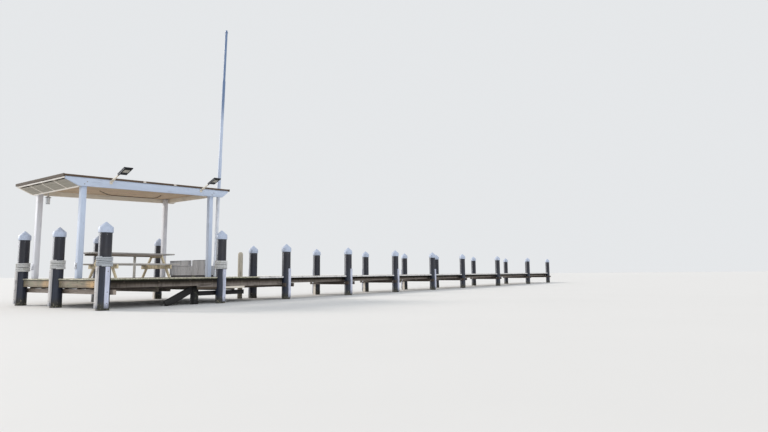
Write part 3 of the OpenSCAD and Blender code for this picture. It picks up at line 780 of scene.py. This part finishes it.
def rounded_copy(node, finish, width=None, angle=35.0, segments=2):
    """A copy of a CAD node with its sharp edges rounded, which stands for that node."""
    mesh = bmesh.new()
    mesh.from_mesh(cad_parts[node].data)
    bmesh.ops.remove_doubles(mesh, verts=mesh.verts, dist=0.00004)
    bmesh.ops.dissolve_limit(mesh, angle_limit=math.radians(0.4), verts=mesh.verts, edges=mesh.edges)
    sharp = [
        line for line in mesh.edges
        if len(line.link_faces) == 2 and line.calc_face_angle(0.0) > math.radians(angle)
    ]
    round_edges(mesh, sharp, width or sizes().timber_edge, segments)
    show(mesh, node + "_dressed", finish, (node,))


def dress(finish, *nodes):
    """Gives CAD nodes, whose shape is right, their finish."""
    for node in nodes:
        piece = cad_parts[node]
        piece.data.materials.clear()
        piece.data.materials.append(finish_of(finish))


def tubes(paths, radius, resolution=1):
    """One mesh of round tubes along lists of points."""
    curve = bpy.data.curves.new("strands", "CURVE")
    curve.dimensions = "3D"
    curve.bevel_depth = radius
    curve.bevel_resolution = resolution
    curve.use_fill_caps = True
    for path in paths:
        spline = curve.splines.new("POLY")
        spline.points.add(len(path) - 1)
        for point, at in zip(spline.points, path):
            point.co = (*at, 1.0)
    holder = bpy.data.objects.new("strands", curve)
    data = bpy.data.meshes.new_from_object(holder)
    mesh = bmesh.new()
    mesh.from_mesh(data)
    bpy.data.objects.remove(holder)
    bpy.data.curves.remove(curve)
    bpy.data.meshes.remove(data)
    return mesh


def cut_round(mesh, cutters, top, bottom):
    """The same boards with round holes cut through them at the piles."""
    tool = bmesh.new()
    for x, y, radius in cutters:
        disc(tool, (x, y, bottom), UP, radius, top - bottom, 40)
    solids = []
    for name, part in (("boards", mesh), ("holes", tool)):
        data = bpy.data.meshes.new(name)
        part.to_mesh(data)
        part.free()
        solid = bpy.data.objects.new(name, data)
        bpy.context.scene.collection.objects.link(solid)
        solids.append(solid)
    cut = solids[0].modifiers.new("cut", "BOOLEAN")
    cut.operation = "DIFFERENCE"
    cut.solver = "EXACT"
    cut.object = solids[1]
    graph = bpy.context.evaluated_depsgraph_get()
    data = bpy.data.meshes.new_from_object(solids[0].evaluated_get(graph))
    result = bmesh.new()
    result.from_mesh(data)
    for solid in solids:
        used = solid.data
        bpy.data.objects.remove(solid)
        bpy.data.meshes.remove(used)
    bpy.data.meshes.remove(data)
    return result


# Piles and what is tied or bolted to them


def outward(angle):
    """The level direction at an angle round a pile."""
    return Vector((math.cos(angle), math.sin(angle), 0.0))


def screw_sleeve(mesh, pile, top):
    """Six screws round the sleeve under the cap, and six round the cap's skirt."""
    x, y, radius = pile
    under_cap = (top - CAP_SKIRT - 0.055, radius)
    on_skirt = (top - 0.09, radius + CAP_WALL)
    for k in range(6):
        out = outward(math.radians(60 * k + 15))
        for height, reach in (under_cap, on_skirt):
            disc(mesh, Vector((x, y, height)) + out * (reach - 0.001), out, 0.007, 0.004, 8, 0.004)


def grow_shells(mesh, pile, rng):
    """Shells round a pile at the waterline, fewer of them higher up."""
    x, y, radius = pile
    for _ in range(sizes().growth_count):
        out = outward(rng.uniform(0, math.tau))
        height = 0.018 + 0.17 * rng.random() ** 1.8
        size = rng.uniform(0.006, 0.015)
        lean = Vector((0, 0, rng.uniform(-0.2, 0.3)))
        at = Vector((x, y, height)) + out * (radius - 0.002)
        disc(mesh, at, out + lean, size, size * 0.8, 7, size * 0.4)


class JETTY_OT_piles(bpy.types.Operator):
    """Finishes the sleeved piles and puts sleeve screws and shells on them"""

    bl_idname = "jetty.piles"
    bl_label = "Piles"

    def execute(self, context):
        dress("sleeve", "corner_pile", "end_piles", "side_pile", "platform_far_piles")
        dress("sleeve", "walkway_near_piles", "walkway_far_piles")
        screws = bmesh.new()
        shells = bmesh.new()
        rng = random.Random(11)
        tops = [(pile, PLATFORM_PILE_TOP) for pile in PLATFORM_PILES]
        tops += [(pile, WALKWAY_PILE_TOP) for pile in WALKWAY_PILES]
        for pile, top in tops:
            screw_sleeve(screws, pile, top)
            grow_shells(shells, pile, rng)
        show(screws, "sleeve_screws", "fixing")
        show(shells, "waterline_shells", "shell")
        return {"FINISHED"}


class JETTY_OT_caps(bpy.types.Operator):
    """Rounds and finishes the white pile caps"""

    bl_idname = "jetty.caps"
    bl_label = "Pile caps"

    def execute(self, context):
        for node in ("platform_pile_caps", "walkway_pile_caps"):
            rounded_copy(node, "cap", 0.006, 30.0)
        return {"FINISHED"}


class JETTY_OT_strips(bpy.types.Operator):
    """Finishes the rubbing strips, bolts them to the piles and sets battens on the far piles, partly as a
    painted highlight of their sunlit edges
    """

    bl_idname = "jetty.strips"
    bl_label = "Rubbing strips"

    def execute(self, context):
        for node in ("platform_rub_strips", "walkway_rub_strips"):
            rounded_copy(node, "strip", 0.006, 50.0, 1)

        # Pale battens on the far piles' lake side, partly a painted highlight for the sunlit edge of each pile
        battens = bmesh.new()
        walkway_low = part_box("walkway_crossheads")[0].z
        under = [(FAR_SHORE_PILE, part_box("platform_crossheads")[0].z)]
        under += [((x, WALKWAY_Y[1], SLEEVE_RADIUS), walkway_low) for x in PAIR_X[1:5]]
        for (x, y, radius), top in under:
            face = x - radius
            timber_box(battens, (face - 0.026, y - 0.09, 0.0), (face + 0.012, y + 0.03, top - 0.002))
        show(battens, "lit_edge_battens", "lath")

        bolts = bmesh.new()
        held = [(CORNER_PILE, NEAR), *((pile, LAKE) for pile in END_PILES), (SIDE_PILE, NEAR)]
        held += [(FAR_MIDDLE_PILE, FAR), (FAR_SHORE_PILE, FAR)]
        for x in PAIR_X[:4]:
            held += [((x, y, SLEEVE_RADIUS), side) for y, side in zip(WALKWAY_Y, (NEAR, FAR))]
        for (x, y, radius), side in held:
            for height in (0.18, 0.46, 0.98):
                at = Vector((x, y, height)) + Vector(side) * (radius + STRIP_THICK)
                bolt(bolts, at, side, 0.012)
        show(bolts, "strip_bolts", "rusty")
        return {"FINISHED"}


def strand_path(pile, low, begin, slack, phase):
    """Points along one strand, which winds round the rope while the rope winds up a pile."""
    x, y, radius = pile
    rope, lay, turns = sizes().rope_radius, sizes().strand_lay, sizes().rope_turns
    middle = radius + rope + 0.0005
    reach = rope - rope * STRAND_SHARE
    steps_a_lay = 8
    gap_halfway = 0.008
    steps = int(turns * math.tau * middle / lay * steps_a_lay)
    path = []
    for i in range(steps + 1):
        t = turns * i / steps
        angle = begin + math.tau * t
        twist = math.tau * (t * math.tau * middle / lay + phase)
        part, whole = math.modf(t)
        loose = slack[int(whole)] * (1 - part) + slack[int(whole) + 1] * part
        rise = 2 * rope * min(max(t - 0.5, 0.0), turns - 1.0) + loose
        rise += gap_halfway * min(1.0, max(0.0, (t - turns / 2) * 4 + 0.5))
        away = middle + reach * math.cos(twist)
        z = low + rope + 0.002 + rise + reach * math.sin(twist)
        path.append((x + away * math.cos(angle), y + away * math.sin(angle), z))
    return path


class JETTY_OT_lashings(bpy.types.Operator):
    """Winds the rope lashings round the outer platform piles"""

    bl_idname = "jetty.lashings"
    bl_label = "Rope lashings"

    def execute(self, context):
        size = sizes()
        rng = random.Random(5)
        paths = []
        for pile, low in zip(PLATFORM_PILES, ROPE_LOW):
            begin = rng.uniform(0, math.tau)
            slack = [rng.uniform(-0.0015, 0.0015) for _ in range(size.rope_turns + 2)]
            paths += [strand_path(pile, low, begin, slack, k / 3) for k in range(3)]
        mesh = tubes(paths, size.rope_radius * STRAND_SHARE)
        show(mesh, "rope_turns", "rope", ("rope_lashings",), 60.0)
        return {"FINISHED"}


# Framing and deck


class JETTY_OT_framing(bpy.types.Operator):
    """Finishes the crossheads, joists, stringers and the old timbers by the stub pile"""

    bl_idname = "jetty.framing"
    bl_label = "Framing under the deck"

    def execute(self, context):
        rounded_copy("platform_crossheads", "crosshead")
        rounded_copy("walkway_crossheads", "frame_y")
        rounded_copy("platform_joists", "frame_x")
        rounded_copy("walkway_stringers", "stringer")
        rounded_copy("low_waling", "dark_x")
        rounded_copy("low_brace", "dark_x")
        rounded_copy("stub_pile", "dark_z", 0.008)
        bolts = bmesh.new()
        for x, y, _ in WALKWAY_PILES:
            bolt(bolts, (x - PAIR_CROSSHEAD_FACE, y, 0.5), LAKE)
            bolt(bolts, (x + PAIR_CROSSHEAD_FACE, y, 0.5), SHORE)
        for _, y, _ in END_PILES:
            bolt(bolts, (END_CROSSHEAD_FACE, y + 0.12, 0.45), SHORE)
        show(bolts, "crosshead_bolts", "fixing")
        return {"FINISHED"}


def board_span(index):
    """Where a deck board begins and ends along the jetty."""
    size = sizes()
    begin = DECK_LOW.x + index * size.board_pitch
    return begin, min(begin + size.board_pitch - size.board_gap, WALK_HIGH.x)


def lay_board(mesh, index, far, rng):
    """One deck board across the jetty, a little uneven at its ends and on top."""
    begin, end = board_span(index)
    low = (begin, DECK_LOW.y + rng.uniform(0.0, 0.009), DECK_LOW.z)
    high = (end, far - rng.uniform(0.0, 0.009), DECK_TOP - rng.uniform(0.0, 0.003))
    timber_box(mesh, low, high, sizes().board_edge)


def screw_board(mesh, index, rows, piles):
    """Two screws in a deck board over each joist, but none at a pile."""
    begin, end = board_span(index)
    for y in rows:
        for x in (begin + 0.035, end - 0.03):
            if all(math.hypot(x - px, y - py) > radius + 0.03 for px, py, radius in piles):
                disc(mesh, (x, y, DECK_TOP - 0.0032), UP, sizes().screw_radius, 0.0035, 8)


def piles_beside(index, far):
    """The piles that a deck board meets."""
    begin, end = board_span(index)
    return [
        (x, y, radius) for x, y, radius in PLATFORM_PILES + WALKWAY_PILES
        if begin < x + radius + 0.02 and end > x - radius - 0.02 and y < far + 0.1
    ]


class JETTY_OT_deck(bpy.types.Operator):
    """Lays the deck boards, cut out round the piles, and screws them down"""

    bl_idname = "jetty.deck"
    bl_label = "Deck boards"

    def execute(self, context):
        rng = random.Random(3)
        screws = bmesh.new()
        for node, name, first, last, far, rows in (
            ("platform_deck", "platform_boards_laid", 0, PLATFORM_BOARDS, DECK_HIGH.y, JOIST_Y),
            ("deck_lake_bays", "boards_lake_bays_laid", PLATFORM_BOARDS, 98, WALK_HIGH.y, STRINGER_Y),
            ("deck_middle_bays", "boards_middle_bays_laid", 98, 174, WALK_HIGH.y, STRINGER_Y),
            ("deck_shore_bays", "boards_shore_bays_laid", 174, 255, WALK_HIGH.y, STRINGER_Y),
        ):
            whole = bmesh.new()
            notched = bmesh.new()
            holes = set()
            for index in range(first, last):
                beside = piles_beside(index, far)
                holes.update(beside)
                lay_board(notched if beside else whole, index, far, rng)
                screw_board(screws, index, rows, beside)
            cutters = [(x, y, radius + 0.012) for x, y, radius in sorted(holes)]
            join(whole, cut_round(notched, cutters, CUT_TOP, CUT_BOTTOM))
            show(whole, name, "deck_board", (node,))
        show(screws, "deck_screws", "fixing")
        return {"FINISHED"}


class JETTY_OT_fascias(bpy.types.Operator):
    """Finishes the platform's edge boards, bolts them and puts a pale batten over the near one's foot"""

    bl_idname = "jetty.fascias"
    bl_label = "Edge boards"

    def execute(self, context):
        rounded_copy("end_fascia", "end_board", 0.006)
        rounded_copy("side_fascia", "side_board", 0.006)
        rounded_copy("far_fascia", "side_board", 0.006)
        bolts = bmesh.new()
        low_row, high_row = 0.60, 0.70
        head = 0.007
        for y in (0.45, 1.3, 2.1, 2.9, 3.6, 4.3):
            bolt(bolts, (FASCIA_FACE, y, low_row), LAKE, head)
            bolt(bolts, (FASCIA_FACE, y, high_row), LAKE, head)
        for x in (0.5, 1.5, 2.5, 3.3, 4.2, 5.2, 6.0):
            bolt(bolts, (x, FASCIA_FACE, low_row), NEAR, head)
            bolt(bolts, (x + 0.03, FASCIA_FACE, high_row), NEAR, head)
        show(bolts, "edge_board_bolts", "rusty")

        batten = bmesh.new()
        low = (3.715, FASCIA_FACE - 0.014, FASCIA_LOW + 0.002)
        high = (4.57, FASCIA_FACE + 0.002, FASCIA_LOW + 0.064)
        timber_box(batten, low, high, 0.003)
        show(batten, "edge_batten", "cream_x")
        return {"FINISHED"}


class JETTY_OT_mooring_post(bpy.types.Operator):
    """Finishes the bare mooring post"""

    bl_idname = "jetty.mooring_post"
    bl_label = "Mooring post"

    def execute(self, context):
        rounded_copy("mooring_post", "bare", 0.008)
        return {"FINISHED"}


# Shelter


def above_beam_foot(x, rise):
    """Height of a point above the long beams' underside, which slopes with the roof."""
    return BEAM_LOW + (x - POST_X[0]) * ROOF_FALL + rise


class JETTY_OT_shelter(bpy.types.Operator):
    """Finishes the shelter's posts, beams and rafters and bolts them together"""

    bl_idname = "jetty.shelter"
    bl_label = "Shelter frame"

    def execute(self, context):
        rounded_copy("shelter_posts", "paint_z", 0.007)
        rounded_copy("shelter_front_beam", "paint_x", 0.005)
        # The far beam, end beams and rafters take the cream, painted sun and bounce light on the same white
        # paint
        rounded_copy("shelter_far_beam", "cream_x", 0.005)
        rounded_copy("shelter_end_beams", "cream_y", 0.005)
        rounded_copy("shelter_rafters", "cream_x", 0.004)
        bolts = bmesh.new()
        for x in POST_X:
            for step in (-0.035, 0.035):
                for face, side in zip(BEAM_FACE_Y, (NEAR, FAR)):
                    bolt(bolts, (x + step, face, above_beam_foot(x, 0.09) + step), side, 0.010)
        shore_face = POST_X[1] + POST_HALF + BEAM_THICK
        for y in POST_Y:
            bolt(bolts, (shore_face, y, above_beam_foot(POST_X[1], 0.08)), SHORE, 0.011)
        show(bolts, "shelter_bolts", "fixing")
        return {"FINISHED"}


def lay_ceiling():
    """Narrow boards between the long beams."""
    boards = bmesh.new()
    number = sizes().ceiling_boards
    pitch = (CEILING_Y[1] - CEILING_Y[0]) / number
    for i in range(number):
        low = (0.475, CEILING_Y[0] + i * pitch, CEILING_LOW)
        high = (4.825, CEILING_Y[0] + (i + 1) * pitch - 0.003, CEILING_HIGH)
        timber_box(boards, low, high, 0.003, SLOPE)
    show(boards, "ceiling_boards", "ceiling", ("shelter_ceiling",))


def line_eave():
    """Slanted boards that close the eave at the lake end, with laths across them and along both edges."""
    fall = math.atan(0.18 / 0.37)
    eave = SLOPE @ Matrix.Translation((0.388, 0.0, -0.0055)) @ Matrix.Rotation(fall, 4, "Y")
    lake_edge = -0.380
    width = 0.1265
    lining = bmesh.new()
    for k in range(3):
        low = (lake_edge + k * width, CEILING_Y[0] + 0.001, 0.0)
        high = (lake_edge + (k + 1) * width - 0.004, CEILING_Y[1] - 0.001, 0.0135)
        timber_box(lining, low, high, 0.003, eave)
    step = (BEAM_FACE_Y[1] - BEAM_FACE_Y[0]) / 4
    laths = bmesh.new()
    for k in (1, 2, 3):
        y = BEAM_FACE_Y[0] + k * step
        timber_box(laths, (lake_edge, y - 0.024, -0.006), (-0.004, y + 0.024, 0.001), 0.002, eave)
    timber_box(laths, (-0.0285, BEAM_FACE_Y[0], 0.176), (-0.0105, BEAM_FACE_Y[1], 0.2195), 0.002, SLOPE)
    timber_box(laths, (0.370, CEILING_Y[0], -0.034), (0.3905, CEILING_Y[1], 0.004), 0.002, SLOPE)
    # The eave boards' grey is painted shade on the shelter's white paint
    show(lining, "eave_boards", "eave", ("shelter_ceiling",))
    show(laths, "eave_covers", "lath")


def clip_cable():
    """The cable under the ceiling, with a clip at every second point of its route."""
    cable = bmesh.new()
    path = [SLOPE @ Vector((x, y, 0.1300)) for x, y in CABLE_ROUTE]
    join(cable, tubes([path], CABLE_RADIUS, 2))
    for x, y in CABLE_ROUTE[::2]:
        timber_box(cable, (x - 0.012, y - 0.016, 0.1180), (x + 0.012, y + 0.016, 0.1405), 0.002, SLOPE)
    show(cable, "ceiling_cable", "cable")


def clip_roof_edge():
    """Two small pale clips on the roof's near edge."""
    clips = bmesh.new()
    y = ROOF_Y[0]
    for x in (2.25, 3.28):
        timber_box(clips, (x - 0.045, y - 0.010, 0.242), (x + 0.045, y + 0.001, 0.278), 0.002, SLOPE)
    show(clips, "roof_clips", "lath")


def board_roof():
    """Boards across both ends of the roof, along its sides and under its sheet."""
    low_y, high_y = ROOF_Y
    ends = bmesh.new()
    for x in (-0.055, SLOPE_LENGTH + 0.030):
        timber_box(ends, (x, low_y, 0.220), (x + 0.025, high_y, 0.298), 0.004, SLOPE)
    begin, end = -0.0295, SLOPE_LENGTH + 0.0295
    side_board = 0.0245
    boarding = bmesh.new()
    number = 24
    span = high_y - low_y - 0.05
    for i in range(number):
        y = low_y + 0.025 + i * span / number
        high = (end, y + span / number - 0.002, 0.256)
        timber_box(boarding, (begin, y, ROOF_LOW), high, 0.002, SLOPE)
    sides = bmesh.new()
    for y in (low_y, high_y - side_board):
        timber_box(sides, (begin, y, ROOF_LOW), (end, y + side_board, 0.288), 0.004, SLOPE)
    show(ends, "roof_end_boards", "roof_end", ("shelter_roof",))
    show(sides, "roof_side_boards", "roof_side", ("shelter_roof",))
    show(boarding, "roof_boarding", "roof_side", ("shelter_roof",))


def sheet_roof():
    """The thin sheet whose ribs run down the slope."""
    size = sizes()
    low_y, high_y = ROOF_Y
    inset = 0.026
    width = high_y - low_y - 2 * inset
    ribs = round(width / size.sheet_pitch)
    sheet = bmesh.new()
    centre = Matrix.Translation((SLOPE_LENGTH / 2, (low_y + high_y) / 2, 0.2735))
    grid = Matrix.Diagonal(((SLOPE_LENGTH + 0.056) / 2, width / 2, 1.0, 1.0))
    bmesh.ops.create_grid(sheet, x_segments=5, y_segments=ribs * 10, size=1.0, matrix=centre @ grid)
    for vert in sheet.verts:
        vert.co.z += size.sheet_rise * math.cos(math.tau * (vert.co.y - low_y - inset) / (width / ribs))
    bmesh.ops.recalc_face_normals(sheet, faces=sheet.faces)
    bmesh.ops.solidify(sheet, geom=sheet.faces[:], thickness=0.0012)
    bmesh.ops.transform(sheet, matrix=SLOPE, verts=sheet.verts)
    bmesh.ops.recalc_face_normals(sheet, faces=sheet.faces)
    show(sheet, "roof_sheet", "roof_sheet", ("shelter_roof",), 60.0)


class JETTY_OT_roof(bpy.types.Operator):
    """Makes the ceiling, the closed eave, the cable, the ribbed roof sheet and the boards round its edge"""

    bl_idname = "jetty.roof"
    bl_label = "Roof and ceiling"

    def execute(self, context):
        lay_ceiling()
        line_eave()
        clip_cable()
        clip_roof_edge()
        board_roof()
        sheet_roof()
        return {"FINISHED"}


class JETTY_OT_lights(bpy.types.Operator):
    """Makes the two flat lights on the roof's edge and finishes the hanging lamp"""

    bl_idname = "jetty.lights"
    bl_label = "Lights"

    def execute(self, context):
        arms = bmesh.new()
        cases = bmesh.new()
        cells = bmesh.new()
        shades = bmesh.new()
        face = BEAM_FACE_Y[0] - 0.0003
        tilt = Matrix.Rotation(math.radians(-23), 4, "X")
        for x in LIGHTS_ALONG:
            timber_box(arms, (x - 0.04, face - 0.012, 0.11), (x + 0.04, face, 0.205), 0.003, SLOPE)
            place = SLOPE @ (Matrix.Translation((x, face - 0.009, 0.17)) @ tilt)
            # The arm, its joint, the tube under the case, the case, its lower rim and the pale panel
            for mesh, low, high, edge in (
                (arms, (-0.018, -0.40, -0.018), (0.018, 0.0, 0.018), 0.003),
                (arms, (-0.030, -0.20, -0.026), (0.030, -0.03, 0.026), 0.005),
                (cases, (-0.018, -0.79, -0.014), (0.018, -0.398, 0.0178), 0.003),
                (cases, (-0.026, -0.798, 0.0175), (0.244, -0.415, 0.048), 0.005),
                (cases, (0.024, -0.765, 0.0120), (0.214, -0.448, 0.0178), 0.002),
                (shades, (0.038, -0.700, 0.0095), (0.200, -0.560, 0.0122), 0.001),
            ):
                timber_box(mesh, low, high, edge, place)
            for i in range(4):
                for j in range(6):
                    low = Vector((-0.014 + i * 0.062, -0.786 + j * 0.0605, 0.0478))
                    timber_box(cells, low, low + Vector((0.058, 0.0565, 0.0014)), 0.0, place)
            for step in (-0.022, 0.022):
                bolt(arms, SLOPE @ Vector((x + step, face - 0.012, 0.13)), NEAR, 0.006)
        for mesh, name, finish in (
            (arms, "light_arms", "cream_x"),
            (cases, "light_cases", "light_case"),
            (shades, "light_shades", "light_shade"),
            (cells, "light_cells", "light_cell"),
        ):
            show(mesh, name, finish, ("roof_lights",))
        dress("metal", "shelter_lamp")
        dress("lamp_glass", "lamp_glass")
        return {"FINISHED"}


class JETTY_OT_flagpole(bpy.types.Operator):
    """Finishes the flagpole and bolts its foot down"""

    bl_idname = "jetty.flagpole"
    bl_label = "Flagpole"

    def execute(self, context):
        dress("pole", "flagpole_lower", "flagpole_middle", "flagpole_upper")
        rounded_copy("flagpole_foot", "metal", 0.002, 50.0, 1)
        bolts = bmesh.new()
        plate_top = 0.814
        for x in (5.035, 5.175):
            for y in (2.085, 2.295):
                bolt(bolts, (x, y, plate_top), UP, 0.012)
        show(bolts, "flagpole_bolts", "fixing")
        return {"FINISHED"}


# Furniture and cleats


class JETTY_OT_table(bpy.types.Operator):
    """Finishes the picnic table's boards and frames, bolts them and puts rails under the top"""

    bl_idname = "jetty.table"
    bl_label = "Picnic table"

    def execute(self, context):
        rounded_copy("table_top", "table", 0.005)
        rounded_copy("table_seats", "seat", 0.005)
        rounded_copy("table_frames", "table_frame", 0.004)
        bolts = bmesh.new()
        half_leg = 0.0225
        for x in TABLE_FRAME_X:
            for side in (-1, 1):
                for z, reach in ((1.18, 0.52), (1.48, 0.315)):
                    y = TABLE_Y + side * reach
                    bolt(bolts, (x - half_leg, y, z), LAKE, 0.009)
                    bolt(bolts, (x + half_leg, y, z), SHORE, 0.009)
            for k in range(5):
                y = TABLE_BOARD_LOW + k * TABLE_BOARD_PITCH + 0.0716
                for step in (-0.012, 0.012):
                    disc(bolts, (x + step, y + step * 2, TABLE_TOP - 0.0005), UP, 0.006, 0.0015, 8)
        show(bolts, "table_bolts", "fixing")

        rails = bmesh.new()
        beside_frames = ((0.90, 1.2565), (1.3035, 2.9965))
        for y in (2.140, 2.828):
            for begin, end in beside_frames:
                timber_box(rails, (begin, y, 1.472), (end, y + 0.032, 1.5275), 0.003)
        show(rails, "table_rails", "rail")
        return {"FINISHED"}


class JETTY_OT_bench(bpy.types.Operator):
    """Makes the boarded bench from a carcass, upright boards and a slatted seat"""

    bl_idname = "jetty.bench"
    bl_label = "Boarded bench"

    def execute(self, context):
        low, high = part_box("boarded_bench")
        foot = low.z + 0.06
        seat = high.z - 0.2
        board = 0.018
        edge = 0.003
        back_ends = (low.y + 0.62, low.y + 0.82)
        inner_x = low.x + board
        mesh = bmesh.new()

        # Painted shade: the recessed plinth takes the near-black timber for the shade under the bench
        plinth = ((low.x + 0.03, low.y + 0.03, low.z), (high.x - 0.03, high.y - 0.03, foot + 0.005))
        timber_box(mesh, *plinth, edge, index=1)
        ledge = ((low.x - 0.014, back_ends[1], seat + 0.005), (low.x + 0.003, high.y - 0.004, seat + 0.05))
        timber_box(mesh, *ledge, edge)
        carcass = ((inner_x, low.y + board, foot + 0.012), (high.x - board, high.y - board, seat - 0.02))
        timber_box(mesh, *carcass, 0.0)

        for k in range(20):
            y = low.y + k * BENCH_BOARD_PITCH
            in_gap = 0.62 <= y - low.y <= 0.81
            top = seat if in_gap else high.z
            timber_box(mesh, (low.x, y, foot), (inner_x, y + 0.096, top - 0.001), edge)
            timber_box(mesh, (high.x - board, y, foot), (high.x, y + 0.096, seat - 0.021), edge)
        for k in range(4):
            x = inner_x + k * 0.094
            for y in (low.y, high.y - board):
                timber_box(mesh, (x + 0.002, y, foot), (x + 0.09, y + board, seat - 0.021), edge)
        for k in range(4):
            x = inner_x + 0.042 + k * 0.09
            timber_box(mesh, (x, low.y, seat - 0.02), (x + 0.086, high.y, seat), edge)
        for begin, end in ((low.y, back_ends[0]), (back_ends[1], high.y)):
            timber_box(mesh, (inner_x, begin, seat), (low.x + 0.06, end, high.z - 0.022), 0.0)
            timber_box(mesh, (low.x, begin, high.z - 0.022), (low.x + 0.06, end, high.z), edge)
        show(mesh, "bench_boards", ("bench", "dark_y"), ("boarded_bench",))
        return {"FINISHED"}


class JETTY_OT_cleats(bpy.types.Operator):
    """Rounds and finishes the cleats on the lake end posts"""

    bl_idname = "jetty.cleats"
    bl_label = "Cleats"

    def execute(self, context):
        rounded_copy("post_cleats", "cleat", 0.004, 50.0)
        return {"FINISHED"}


# Stage


def direction(heading, height):
    """The direction at a heading from +X and a height above level, both in degrees."""
    turn, lift = math.radians(heading), math.radians(height)
    return Vector((math.cos(turn) * math.cos(lift), math.sin(turn) * math.cos(lift), math.sin(lift)))


def lay_floor(scene):
    """A wide pale floor just under the jetty."""
    material, place = begin_finish("floor_paper")
    tone = colour("floor")
    end_finish(material, place.noise(0.4, 2.0).mixed(tone, shaded(tone, 0.97)), 0.9)
    mesh = bmesh.new()
    middle = Matrix.Translation((18.0, 2.0, -0.002))
    bmesh.ops.create_grid(mesh, x_segments=1, y_segments=1, size=400.0, matrix=middle)
    data = bpy.data.meshes.new("floor")
    mesh.to_mesh(data)
    mesh.free()
    data.materials.append(material)
    floor = bpy.data.objects.new("floor", data)
    scene.collection.objects.link(floor)


def hang_backdrop(scene):
    """Even soft light from all round, brighter where the camera, gloss or glass sees it."""
    world = bpy.data.worlds.new("studio")
    world.use_nodes = True
    world.node_tree.nodes.clear()
    sky = Wire(world.node_tree)
    seen = sky.node("ShaderNodeLightPath", out="Is Camera Ray")
    gloss = sky.node("ShaderNodeLightPath", out="Is Glossy Ray")
    through = sky.node("ShaderNodeLightPath", out="Is Transmission Ray")
    shown = seen.maths("MAXIMUM", seen, seen.maths("MAXIMUM", gloss * 0.75, through))
    look = {"Color": (0.96, 0.98, 1.0, 1.0), "Strength": 0.62 + shown * 0.20}
    background = sky.node("ShaderNodeBackground", None, look)
    sky.node("ShaderNodeOutputWorld", None, {"Surface": background})
    scene.world = world


def hang_light(scene, name, heading, height, strength, softness, tone, gloss_only=False):
    """A distant soft lamp from a heading and a height, in degrees as its softness is."""
    lamp = bpy.data.lights.new(name, "SUN")
    lamp.energy = strength
    lamp.angle = math.radians(softness)
    lamp.color = tone
    holder = bpy.data.objects.new(name, lamp)
    towards = direction(heading, height)
    holder.rotation_mode = "QUATERNION"
    holder.rotation_quaternion = towards.to_track_quat("Z", "Y")
    holder.location = towards * 60.0
    holder.visible_diffuse = not gloss_only
    scene.collection.objects.link(holder)


def set_camera(scene):
    """The camera where the photograph was taken from."""
    heading, roll = math.radians(CAMERA_HEADING), math.radians(CAMERA_ROLL)
    ahead = direction(CAMERA_HEADING, CAMERA_PITCH)
    level = Vector((math.sin(heading), -math.cos(heading), 0.0))
    above = level.cross(ahead)
    right = level * math.cos(roll) - above * math.sin(roll)
    up = above * math.cos(roll) + level * math.sin(roll)
    lens = bpy.data.cameras.new("camera")
    lens.lens = SENSOR_WIDTH * FOCAL_PIXELS / PHOTO_PIXELS
    lens.sensor_width = SENSOR_WIDTH
    lens.clip_end = 1000.0
    camera = bpy.data.objects.new("camera", lens)
    turn = Matrix((right, up, -ahead)).transposed().to_4x4()
    camera.matrix_world = Matrix.Translation(CAMERA_PLACE) @ turn
    scene.collection.objects.link(camera)
    scene.camera = camera


class JETTY_OT_stage(bpy.types.Operator):
    """Lays the pale floor and sets the lights, the background and the camera"""

    bl_idname = "jetty.stage"
    bl_label = "Stage, lights and camera"

    def execute(self, context):
        scene = context.scene
        lay_floor(scene)
        hang_backdrop(scene)
        hang_light(scene, "key", 108.0, 29.0, 2.15, 12.0, (1.0, 0.93, 0.84))
        hang_light(scene, "front_fill", 258.0, 30.0, 0.8, 60.0, (0.90, 0.95, 1.0))
        hang_light(scene, "edge_gloss", 122.0, 8.0, 3.2, 30.0, (0.95, 0.96, 1.0), True)
        set_camera(scene)
        scene.view_settings.view_transform = "Standard"
        return {"FINISHED"}


OPERATORS = (
    JETTY_OT_stage,
    JETTY_OT_piles,
    JETTY_OT_caps,
    JETTY_OT_strips,
    JETTY_OT_lashings,
    JETTY_OT_framing,
    JETTY_OT_deck,
    JETTY_OT_fascias,
    JETTY_OT_mooring_post,
    JETTY_OT_shelter,
    JETTY_OT_roof,
    JETTY_OT_lights,
    JETTY_OT_flagpole,
    JETTY_OT_table,
    JETTY_OT_bench,
    JETTY_OT_cleats,
)


class JETTY_PT_pieces(bpy.types.Panel):
    """Lists the jetty's pieces in the sidebar"""

    bl_idname = "JETTY_PT_pieces"
    bl_label = "Wooden jetty"
    bl_space_type = "VIEW_3D"
    bl_region_type = "UI"
    bl_category = "Jetty"

    def draw(self, context):
        for kind in OPERATORS:
            self.layout.operator(kind.bl_idname)


CLASSES = (JettySizes, JettyColours, *OPERATORS, JETTY_PT_pieces)


def register():
    """Adds the sizes, the colours, the operators and their panel."""
    for kind in CLASSES:
        bpy.utils.register_class(kind)
    bpy.types.Scene.jetty_sizes = PointerProperty(type=JettySizes)
    bpy.types.Scene.jetty_colours = PointerProperty(type=JettyColours)


def unregister():
    """Takes them away again."""
    del bpy.types.Scene.jetty_colours
    del bpy.types.Scene.jetty_sizes
    for kind in reversed(CLASSES):
        bpy.utils.unregister_class(kind)


def main():
    """Builds the whole jetty."""
    register()
    for kind in OPERATORS:
        group, name = kind.bl_idname.split(".")
        getattr(getattr(bpy.ops, group), name)()


if __name__ == "__main__":
    main()
